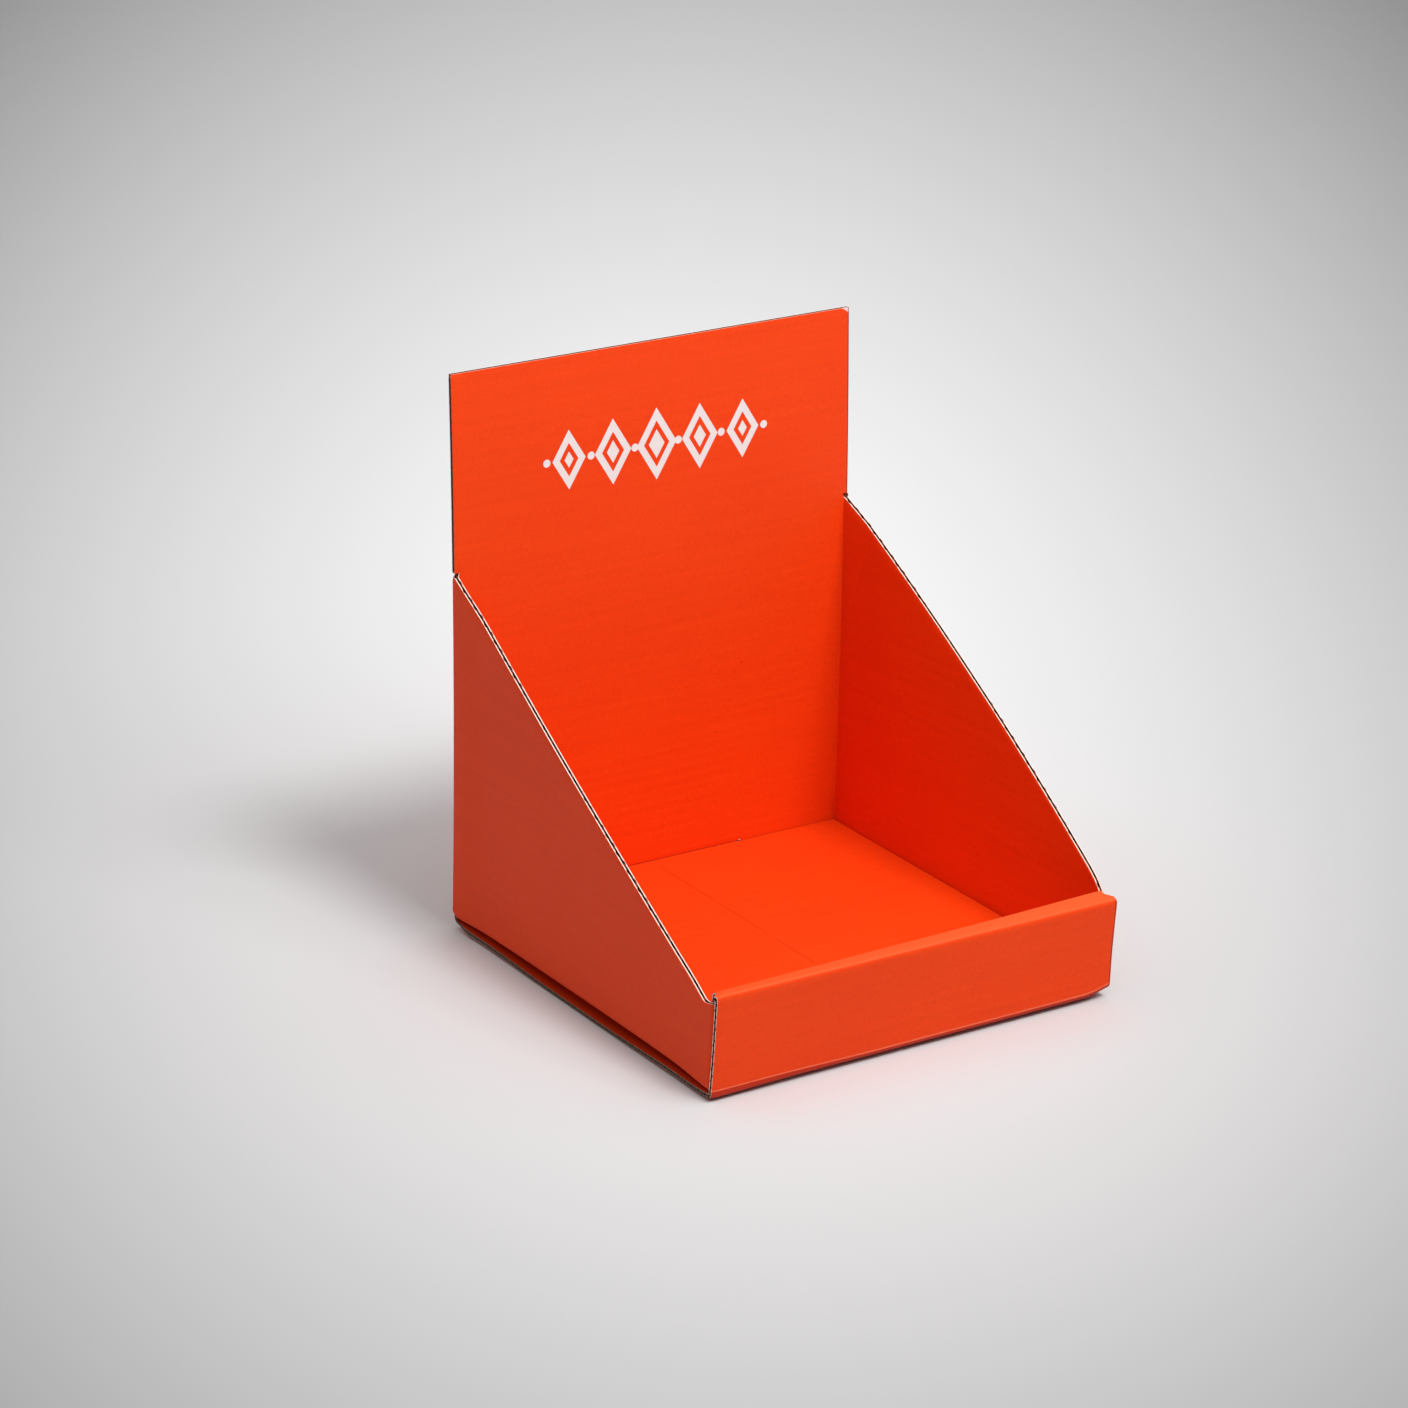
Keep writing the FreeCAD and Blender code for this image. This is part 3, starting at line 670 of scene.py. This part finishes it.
def mesh_object(name, points, faces, flats, kinds, materials):
    """Mesh of quads, some of them closed up to triangles, with their places on the blank.

    A corner that is the same point as the corner before it is left out of its face.
    """
    kept = faces != np.roll(faces, 1, axis=1)
    ends = np.cumsum(kept.sum(axis=1))
    mesh = bpy.data.meshes.new(name)
    mesh.from_pydata(points, [], np.split(faces[kept], ends[:-1]))
    layer = mesh.uv_layers.new(name="blank")
    layer.data.foreach_set("uv", flats[kept].astype(np.float32).ravel())
    mesh.polygons.foreach_set("material_index", kinds.astype(np.int32))
    mesh.polygons.foreach_set("use_smooth", np.ones(len(faces), bool))
    for material in materials:
        mesh.materials.append(material)
    mesh.set_sharp_from_angle(angle=radians(35))
    mesh.update()
    piece = bpy.data.objects.new(name, mesh)
    bpy.context.scene.collection.objects.link(piece)
    return piece


class Wire:
    """A shader socket that reads like a number: each operator adds its Math node."""

    def __init__(self, shader, socket):
        self.shader = shader
        self.socket = socket

    def math(self, operation, *values):
        inputs = dict(enumerate([self, *values]))
        return self.shader.node("ShaderNodeMath", {"operation": operation}, inputs)

    def _turned(self, operation, value):
        return self.shader.node("ShaderNodeMath", {"operation": operation}, {0: value, 1: self})

    def __add__(self, value):
        return self.math("ADD", value)

    def __sub__(self, value):
        return self.math("SUBTRACT", value)

    def __mul__(self, value):
        return self.math("MULTIPLY", value)

    def __truediv__(self, value):
        return self.math("DIVIDE", value)

    def __rsub__(self, value):
        return self._turned("SUBTRACT", value)

    def __lt__(self, value):
        return self.math("LESS_THAN", value)

    def __gt__(self, value):
        return self.math("GREATER_THAN", value)

    def __abs__(self):
        return self.math("ABSOLUTE")

    __radd__ = __add__
    __rmul__ = __mul__


class Shader:
    """One material and its nodes."""

    def __init__(self, name):
        self.material = bpy.data.materials.new(name)
        self.material.use_nodes = True
        self.tree = self.material.node_tree
        self.tree.nodes.clear()

    def node(self, kind, settings=None, inputs=None, output=0):
        """Adds a node: its settings first, then the values or wires of its sockets."""
        made = self.tree.nodes.new(kind)
        for name, value in (settings or {}).items():
            setattr(made, name, value)
        for name, value in (inputs or {}).items():
            if isinstance(value, Wire):
                self.tree.links.new(value.socket, made.inputs[name])
            else:
                made.inputs[name].default_value = value
        return Wire(self, made.outputs[output]) if made.outputs else None

    def mix(self, low, high, factor):
        """Colour between low and high."""
        colours = {6: rgba(low), 7: rgba(high), 0: factor}
        return self.node("ShaderNodeMix", {"data_type": "RGBA"}, colours, output=2)

    def noise(self, vector, scale, detail=2.0, roughness=0.5):
        inputs = {"Vector": vector, "Scale": scale, "Detail": detail, "Roughness": roughness}
        return self.node("ShaderNodeTexNoise", None, inputs)

    def place(self):
        """Object coordinates, in metres."""
        return self.node("ShaderNodeTexCoord", None, None, output=3)

    def scaled(self, vector, x, y, z):
        """Vector with each of its parts multiplied."""
        inputs = {0: vector, 1: (x, y, z)}
        return self.node("ShaderNodeVectorMath", {"operation": "MULTIPLY"}, inputs)

    def parts(self, vector):
        """The three parts of a vector as numbers."""
        split = self.node("ShaderNodeSeparateXYZ", None, {0: vector})
        return [Wire(self, output) for output in split.socket.node.outputs]

    def step(self, value, low, high):
        """Smooth step of a value from 0 at low to 1 at high."""
        inputs = {"Value": value, "From Min": low, "From Max": high}
        return self.node("ShaderNodeMapRange", {"interpolation_type": "SMOOTHSTEP"}, inputs)

    def finish(self, **sockets):
        """Ends in a Principled surface with these sockets, and gives the material."""
        inputs = {name.replace("_", " "): value for name, value in sockets.items()}
        surface = self.node("ShaderNodeBsdfPrincipled", None, inputs)
        self.node("ShaderNodeOutputMaterial", None, {"Surface": surface})
        return self.material


def rgba(value):
    """Value for a colour socket: a wire as it is, or a colour with full alpha."""
    return value if isinstance(value, Wire) else (*tuple(value)[:3], 1.0)


def paper_bump(shader, place, flat, sizes, marks):
    """Relief of printed board: paper fibre, dented marks, and faint flutes showing through."""
    fibre = shader.noise(place, 900.0, 4.0, 0.6)
    across = shader.parts(flat)[1]
    patch = shader.noise(shader.scaled(flat, 12.0, 60.0, 1.0), 1.0, 2.0)
    flute = (across * (2 * pi / sizes.flute_pitch)).math("SINE") * patch
    height = fibre * 0.35 + flute * 0.5 - marks * 0.6
    inputs = {"Height": height, "Strength": 0.22, "Distance": 0.00035}
    return shader.node("ShaderNodeBump", None, inputs)


def printed_colour(shader, place, flat, colours):
    """Orange print: nearly even, with soft clouds, fine fibre specks and faint flute streaks."""
    base = np.array(colours.print_colour)
    cloud = shader.noise(place, 14.0, 3.0)
    speck = shader.noise(place, 700.0, 2.0, 0.7)
    streak = shader.noise(shader.scaled(flat, 9.0, 260.0, 1.0), 1.0, 3.0)
    tone = 0.5 + (cloud - 0.5) * 0.6 + (speck - 0.5) * 1.5 + (streak - 0.5) * 0.8
    return shader.mix(base * (0.93, 0.86, 0.8), np.minimum(base * (1.06, 1.16, 1.3), 1.0), tone)


def printed_surface(shader, place, flat, paint, sizes, marks=0.0):
    """Matte surface with this paint, dented where marks is above 0."""
    rough = 0.5 + shader.noise(place, 240.0, 2.0) * 0.12
    bump = paper_bump(shader, place, flat, sizes, marks)
    return shader.finish(Base_Color=paint, Roughness=rough, Normal=bump, Specular_IOR_Level=0.16)


def outer_material(settings, places, line):
    """Print of the outer liner, which shows outside and on the tray's floor.

    It is paler over the lip's ridge, where stretched print carries a painted sheen. Along the
    crease above the front's lower fold runs a pale ragged line, cracks in the print with a painted
    highlight; under it is a band of painted shade, and a line of painted shade runs along the right
    cut edge.
    It has a faint broken line along the middle of the floor.
    """
    sizes, colours = settings.stand_blank, settings.stand_colours
    shader = Shader("outer_print")
    place = shader.place()
    flat = shader.node("ShaderNodeUVMap", {"uv_map": "blank"})
    x, y = shader.parts(place)[:2]
    across = shader.parts(flat)[1]
    paint = printed_colour(shader, place, flat, colours)

    # Painted sheen with stretched print: the band over the ridge is mixed to a paler colour
    ridge_front = places.height - sum(line.span("ridge_fold")) / 2
    ridge_rear = places.height - sum(line.span("inner_fold")) / 2
    soft = 0.15 * MM
    ridge_stretch_and_sheen = shader.step(across, ridge_front + soft, ridge_front - soft)
    ridge_stretch_and_sheen = ridge_stretch_and_sheen * shader.step(across, ridge_rear - soft, ridge_rear + soft)
    paint = shader.mix(paint, colours.ridge, ridge_stretch_and_sheen * 0.9)

    fold_start, fold_end = line.span("front_fold")
    fold = places.height - fold_end + (fold_end - fold_start) * 0.2
    past = across - fold + shader.step(x, -0.02, -0.125) * 1.6 * MM + 0.8 * MM
    # Painted shade: the band below the crease, where the fold turns down to the table, is mixed
    # dark
    under = shader.step(past, 0.1 * MM, 0.6 * MM)
    under = under * (across < places.height - fold_start + 8.0 * MM)
    paint = shader.mix(paint, np.array(colours.print_colour) * (0.62, 0.5, 2.0), under)
    # Pale ragged line along the crease: cracks in the print with a painted highlight of the fold
    ragged = shader.noise(place, 300.0, 3.0) * 0.4 + 0.25
    cracked_and_highlit = shader.step(abs(past), 0.6 * MM, 0.2 * MM) * ragged
    paint = shader.mix(paint, colours.crease, cracked_and_highlit)

    # Painted shade: a dark line along the front's right cut edge
    edge = shader.step(x, 0.1236, 0.1244) * (y < -0.11) * (across > ridge_front) * (across < fold)
    paint = shader.mix(paint, np.array(colours.print_colour) * 0.3, edge * 0.7)

    floor_start, floor_end = line.span("floor")
    on_floor = across < places.height - floor_start - 3.0 * MM
    on_floor = on_floor * (across > places.height - floor_end)
    broken = shader.step(shader.noise(shader.scaled(place, 0.0, 34.0, 0.0), 1.0, 2.0), 0.34, 0.5)
    waver = (shader.noise(place, 60.0, 1.0) - 0.5) * 0.5 * MM
    line_mark = shader.step(abs(x + waver), 0.55 * MM, 0.15 * MM) * on_floor * broken
    paint = shader.mix(paint, np.array(colours.print_colour) * (0.62, 0.45, 0.5), line_mark * 0.8)
    return printed_surface(shader, place, flat, paint, sizes, line_mark)


def inner_material(settings, places):
    """Print of the inner liner, which shows on the back and inside the walls.

    It has the white ornament, an upper right corner with white wear, a white mark at the slot's
    nick by the floor and two dark specks. Painted shade darkens it along the header's right edge,
    and in the gap under the left wall along the base's left edge.
    """
    sizes, colours = settings.stand_blank, settings.stand_colours
    shader = Shader("inner_print")
    place = shader.place()
    flat = shader.node("ShaderNodeUVMap", {"uv_map": "blank"})
    x, y, z = shader.parts(place)
    paint = printed_colour(shader, place, flat, colours)
    paint = shader.mix(paint, colours.ornament, ornament_mask(shader, place))

    def spot(across, up, radius):
        """1 within an ellipse on the back, with a soft rim."""
        away = ((x - across) * (x - across) + (z - up) * (z - up)).math("SQRT")
        return shader.step(away, radius * 1.3, radius * 0.7) * (y > REAR_ONLY)

    specks = spot(0.0562, 0.1213, 0.45 * MM) + spot(0.0397, 0.0831, 0.4 * MM)
    paint = shader.mix(paint, np.array(colours.print_colour) * 0.35, specks * 0.7)
    ragged = (shader.noise(place, 500.0, 3.0) - 0.5) * 3.0 * MM
    top = places.height - settings.stand_settled.header_drop
    corner = (places.half - sizes.header_inset - x) + (top - z) * 1.4 + ragged
    wear_and_shade = shader.step(corner, 2.7 * MM, 1.6 * MM) * (y > REAR_ONLY)
    paint = shader.mix(paint, colours.ornament, wear_and_shade * 0.7)
    # Painted shade: a dark line along the header's right edge
    shaded = (x > places.half - 1.0 * MM) * (z > sizes.side_height) * (y > REAR_ONLY)
    # Painted shade in the gap under the left wall, along the base's left edge
    gap_shade = shader.step(x, -0.116, -0.122) * (z < 7.5 * MM)
    paint = shader.mix(paint, np.array(colours.print_colour) * 0.3, shaded * 0.7 + gap_shade * 0.6)
    # A white mark at the slot's nick, just above the floor
    nick_x = sizes.tab_width / 2 + sizes.slot_gap - sizes.nick_width / 2
    nick_mark = (abs(x - nick_x) < 0.6 * MM) * (z < 14.2 * MM) * (y > REAR_ONLY)
    paint = shader.mix(paint, colours.ornament, nick_mark)
    return printed_surface(shader, place, flat, paint, sizes, specks)


def edge_material(colours):
    """Cut edge of the liners: whitish, with painted shade in dull brown at the foot, and darker at
    the header's sides.
    """
    shader = Shader("liner_edge")
    place = shader.place()
    x, y, z = shader.parts(place)
    fibre = shader.noise(place, 900.0, 3.0, 0.65)
    white, shaded = np.array(colours.cut_edge), np.array(colours.foot_edge_shade)
    fresh = shader.mix(white * 0.8, np.minimum(white * 1.12, 1.0), fibre)
    wear_and_shade = shader.mix(shaded * 0.7, shaded * 1.3, fibre)
    # Painted shade: near the table the cut edge turns to the dark foot colour
    paint = shader.mix(wear_and_shade, fresh, shader.step(z - y * 0.02, 5.0 * MM, 11.0 * MM))
    # Darker cut edges at the header's sides
    beside = (abs(x) > 0.1235) * (z > 0.2062) * (z < 0.3125)
    paint = shader.mix(paint, colours.header_edge, beside * 0.85)
    return shader.finish(Base_Color=paint, Roughness=0.8, Specular_IOR_Level=0.0)


def ornament_mask(shader, place):
    """White band of diamonds and dots across the header.

    A diamond is where |x| + |z| is below its half width, and a dot is where the distance is
    below its radius, both measured from the middle of the nearest cell of a row.
    """
    x, y, z = shader.parts(place)
    middle, pitch = 0.257, 0.0275
    up = z - middle
    cell = (x / pitch).math("ROUND")
    across = x - cell * pitch
    size = 0.0125 - abs(cell) * 0.0011
    away = abs(across) + abs(up) * 0.62
    diamond, hollow, core = ((size - cut - away) > 0.0 for cut in (0.0, 0.0045, 0.0075))
    shape = (diamond - hollow + core) * (abs(cell) < 2.5)
    half = (x / pitch - 0.5).math("ROUND") + 0.5
    beside = x - half * pitch
    near = (beside * beside + up * up).math("SQRT")
    dot = (near < 0.0022) * (abs(half) < 2.6)
    return (shape + dot) * (y > REAR_ONLY)


def bare_material(name, tint, dusty, scale):
    """Unprinted paper, with long soft fibres, greyed at the foot."""
    shader = Shader(name)
    place = shader.place()
    fibre = shader.noise(place, scale, 3.0, 0.65)
    base = np.array(tint)
    paint = shader.mix(base * 0.78, np.minimum(base * 1.18, 1.0), fibre)
    height = shader.parts(place)[2]
    paint = shader.mix(dusty, paint, shader.step(height, 5.0 * MM, 8.0 * MM))
    relief = {"Height": fibre, "Strength": 0.3, "Distance": 0.0002}
    bump = shader.node("ShaderNodeBump", None, relief)
    rough = 0.5 + fibre * 0.5
    return shader.finish(Base_Color=paint, Roughness=rough, Normal=bump, Specular_IOR_Level=0.0)


def board_sheet(places, line, nicks):
    """All panels of the blank joined along their folds, with or without the slot's nicks."""
    levels = levels_of(places, 6.0 * MM)
    stations = strip_stations(places, line, 6.0 * MM, 12, levels)
    panels = [strip_panel(places, line, stations, strip_columns(places, 41), nicks)]
    for side in (-1, 1):
        wall = wall_panel(places, side, levels, 40, 10)
        panels.append(wall)
        panels.append(bottom_panel(places, side, wall, 10, 6))
        panels.append(front_panel(places, side, wall, 10, 4))
    return Sheet(panels)


class STAND_OT_liners(bpy.types.Operator):
    """Make the two printed liners of the board, with their white cut edges"""
    bl_idname = "stand.liners"
    bl_label = "Printed liners"

    def execute(self, context):
        scene = context.scene
        sizes, colours, settled = scene.stand_blank, scene.stand_colours, scene.stand_settled
        places = Places(sizes)
        line = StripLine(places)
        bare = bare_material("bare_liner", colours.bare, colours.dusty, 800.0)
        edge = edge_material(colours)
        outer_print = outer_material(scene, places, line)
        inner_print = inner_material(scene, places)

        sheet = board_sheet(places, line, True)
        face = sizes.board / 2 - sizes.pinch * sheet.at_rim + sheet.bulge
        outer = shell_mesh("outer_liner", sheet, face, face - sizes.liner, places, settled,
                           [outer_print, bare, edge])
        sheet = board_sheet(places, line, False)
        face = sizes.board / 2 - sizes.pinch * sheet.at_rim
        inner = shell_mesh("inner_liner", sheet, -face, sizes.liner - face, places, settled,
                           [inner_print, bare, edge])
        for liner in (outer, inner):
            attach(liner, BODY)
            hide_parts(NODE)
        return {"FINISHED"}


def flute_panels(places, line):
    """Panels of the fluted core before its wave, with rows an eighth of a flute apart."""
    sizes = places.sizes
    step = sizes.flute_pitch / 8
    end = line.span("floor")[1]
    stations = np.arange(0, end, step)
    marks = strip_stations(places, line, 1.0, 1)
    stations = np.unique(np.round(np.concatenate([stations, marks]), 7))
    panels = [strip_panel(places, line, stations, strip_columns(places, 13))]
    levels = np.arange(places.wall_foot, sizes.side_height, step)
    foot = sizes.foot_height
    levels = np.append(levels, [foot, foot + 0.02 * MM, sizes.side_height])
    levels = np.unique(np.round(levels, 7))
    shares = np.linspace(0, 1, 25)
    for side in (-1, 1):
        turn = np.linspace(pi / 2, 0, 5)[:-1]
        front = np.minimum(places.slant_front(levels), places.corner_y)
        wall_y = places.corner_y + shares[None, :] * (front - places.corner_y)[:, None]
        fold_y = np.broadcast_to(places.corner_y + places.bend * np.sin(turn), (len(levels), 4))
        y = np.concatenate([fold_y, wall_y], axis=1)
        fold_x = places.corner_x + places.bend * np.cos(turn)
        x = round_fold(fold_x, places.half - sizes.board / 2, shares)
        out_x = round_fold(np.cos(turn), 1.0, shares)
        out_y = round_fold(np.sin(turn), 0.0, shares)
        points = grid(side * x[None, :], y, levels[:, None])
        normals = grid(side * out_x[None, :] + 0 * y, out_y[None, :] + 0 * y, 0.0)
        flat = np.stack([y, np.broadcast_to(levels[:, None], y.shape)], -1)
        panels.append(Panel(points, normals, flat))
    return panels


class STAND_OT_core(bpy.types.Operator):
    """Make the fluted paper between the liners, which shows at every cut edge"""
    bl_idname = "stand.core"
    bl_label = "Fluted core"

    def execute(self, context):
        scene = context.scene
        sizes, colours = scene.stand_blank, scene.stand_colours
        places = Places(sizes)
        panels = flute_panels(places, StripLine(places))
        # The wave is a sine of the distance across the flutes, from liner to liner
        reach = sizes.board / 2 - sizes.liner - sizes.flute_paper / 2
        for panel in panels:
            wave = reach * np.sin(panel.flat[..., 1:] * (2 * pi / sizes.flute_pitch))
            panel.points = panel.points + panel.normals * wave
        sheet = Sheet(panels)
        paper = bare_material("fluted_paper", colours.fluting, colours.dusty, 700.0)

        half = sizes.flute_paper / 2
        core = shell_mesh("fluted_core", sheet, half, -half, places, scene.stand_settled,
                          [paper] * 3)
        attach(core, BODY)
        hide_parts(NODE)
        return {"FINISHED"}


def floor_material(stage, camera):
    """Pale floor with a painted falloff of light: darker away from the stand, in a pattern fixed on
    the floor.

    With u and v the sideways and upward places of a floor point in the photograph's frame, the
    share of the darker colour is 0.524 (1 + 0.204 v) (U^2 + 1.261 V^2)^0.652, where U and V are
    u and v less their values at the palest point. Beyond the frame a small even share is left,
    so that the floor there stays pale and lights the stand's upright faces.
    """
    shader = Shader("pale_floor")
    place = shader.place()
    offset = shader.node("ShaderNodeVectorMath", {"operation": "SUBTRACT"},
                         {0: place, 1: tuple(camera.translation)})

    def part(axis):
        """Part of the offset along one axis of the camera."""
        inputs = {0: offset, 1: tuple(camera.col[axis][:3])}
        return shader.node("ShaderNodeVectorMath", {"operation": "DOT_PRODUCT"}, inputs, output=1)

    depth = (part(2) * -1.0).math("MAXIMUM", 0.3)
    u, v = part(0) / depth / HALF_VIEW, part(1) / depth / HALF_VIEW
    across, up = u + 0.026, v - 0.211
    away = (across * across + up * up * 1.261).math("POWER", 0.652) * 0.524 * (v * 0.204 + 1.0)
    framed = shader.step(abs(u).math("MAXIMUM", abs(v)), 1.6, 1.05)
    beyond = 0.085
    # Painted falloff of light: the share of the darker floor colour
    far = (away.math("MINIMUM", 1.0) - beyond) * framed + beyond
    return shader.finish(Base_Color=shader.mix(stage.floor, stage.floor_falloff_shade, far), Roughness=0.8)


def soft_sun(name, azimuth, elevation, strength, spread):
    """Distant soft light from a side of the stand: azimuth 0 is the front, 90 the right."""
    data = bpy.data.lights.new(name, "SUN")
    data.energy = strength
    data.angle = radians(spread)
    light = bpy.data.objects.new(name, data)
    light.rotation_euler = (radians(90 - elevation), 0.0, radians(azimuth))
    bpy.context.scene.collection.objects.link(light)


class STAND_OT_stage(bpy.types.Operator):
    """Make the pale floor, the soft lights and the camera"""
    bl_idname = "stand.stage"
    bl_label = "Floor, lights and camera"

    def execute(self, context):
        scene = context.scene
        stage = scene.stand_stage
        azimuth, elevation = stage.camera_azimuth, stage.camera_elevation
        level = cos(elevation)
        back = Vector((-sin(azimuth) * level, -cos(azimuth) * level, sin(elevation)))
        target = Vector((-48.5, 2.3, 157.6)) * MM
        data = bpy.data.cameras.new("camera")
        data.sensor_width = 36.0
        data.lens = stage.camera_lens
        data.clip_end = 100.0
        camera = bpy.data.objects.new("camera", data)
        turn = back.to_track_quat("Z", "Y").to_matrix().to_4x4()
        roll = Matrix.Rotation(stage.camera_roll, 4, "Z")
        place = Matrix.Translation(target + back * stage.camera_distance)
        camera.matrix_world = place @ turn @ roll
        scene.collection.objects.link(camera)
        scene.camera = camera
        scene.view_settings.view_transform = "Standard"

        half = 12.0
        mesh = bpy.data.meshes.new("floor")
        corners = [(-half, -half, 0), (half, -half, 0), (half, half, 0), (-half, half, 0)]
        mesh.from_pydata(corners, [], [(0, 1, 2, 3)])
        mesh.materials.append(floor_material(stage, camera.matrix_world))
        floor = bpy.data.objects.new("floor", mesh)
        scene.collection.objects.link(floor)

        soft_sun("key", 12, 57, stage.key, 18)
        soft_sun("dome", 0, 88, stage.dome, 110)
        lamp = bpy.data.lights.new("header_light", "AREA")
        lamp.size, lamp.energy = 0.5, stage.header_light
        light = bpy.data.objects.new("header_light", lamp)
        away = Vector((sin(radians(12)), -cos(radians(12)), 1.0)).normalized()
        light.location = Vector((0.0, 0.1, 0.3)) + away * 0.9
        light.rotation_euler = away.to_track_quat("Z", "Y").to_euler()
        scene.collection.objects.link(light)
        world = bpy.data.worlds.new("studio")
        world.use_nodes = True
        background = world.node_tree.nodes["Background"]
        background.inputs["Color"].default_value = (1.0, 1.0, 1.0, 1.0)
        background.inputs["Strength"].default_value = stage.sky
        scene.world = world
        return {"FINISHED"}


class STAND_PT_tools(bpy.types.Panel):
    """Lists the pieces of the stand"""
    bl_label = "Display stand"
    bl_idname = "STAND_PT_tools"
    bl_space_type = "VIEW_3D"
    bl_region_type = "UI"
    bl_category = "Stand"

    def draw(self, context):
        for operator in OPERATORS:
            self.layout.operator(operator.bl_idname)
        for group, kind in GROUPS:
            box = self.layout.box()
            for name in kind.__annotations__:
                box.prop(getattr(context.scene, group), name)


GROUPS = (
    ("stand_blank", BlankSizes),
    ("stand_settled", SettledSizes),
    ("stand_colours", PaperColours),
    ("stand_stage", StageSettings),
)
OPERATORS = (STAND_OT_liners, STAND_OT_core, STAND_OT_stage)


def register():
    for group, kind in GROUPS:
        bpy.utils.register_class(kind)
        setattr(bpy.types.Scene, group, PointerProperty(type=kind))
    for made in (*OPERATORS, STAND_PT_tools):
        bpy.utils.register_class(made)


def unregister():
    for made in (STAND_PT_tools, *reversed(OPERATORS)):
        bpy.utils.unregister_class(made)
    for group, kind in reversed(GROUPS):
        delattr(bpy.types.Scene, group)
        bpy.utils.unregister_class(kind)


def main():
    register()
    bpy.ops.stand.liners()
    bpy.ops.stand.core()
    bpy.ops.stand.stage()


if __name__ == "__main__":
    main()
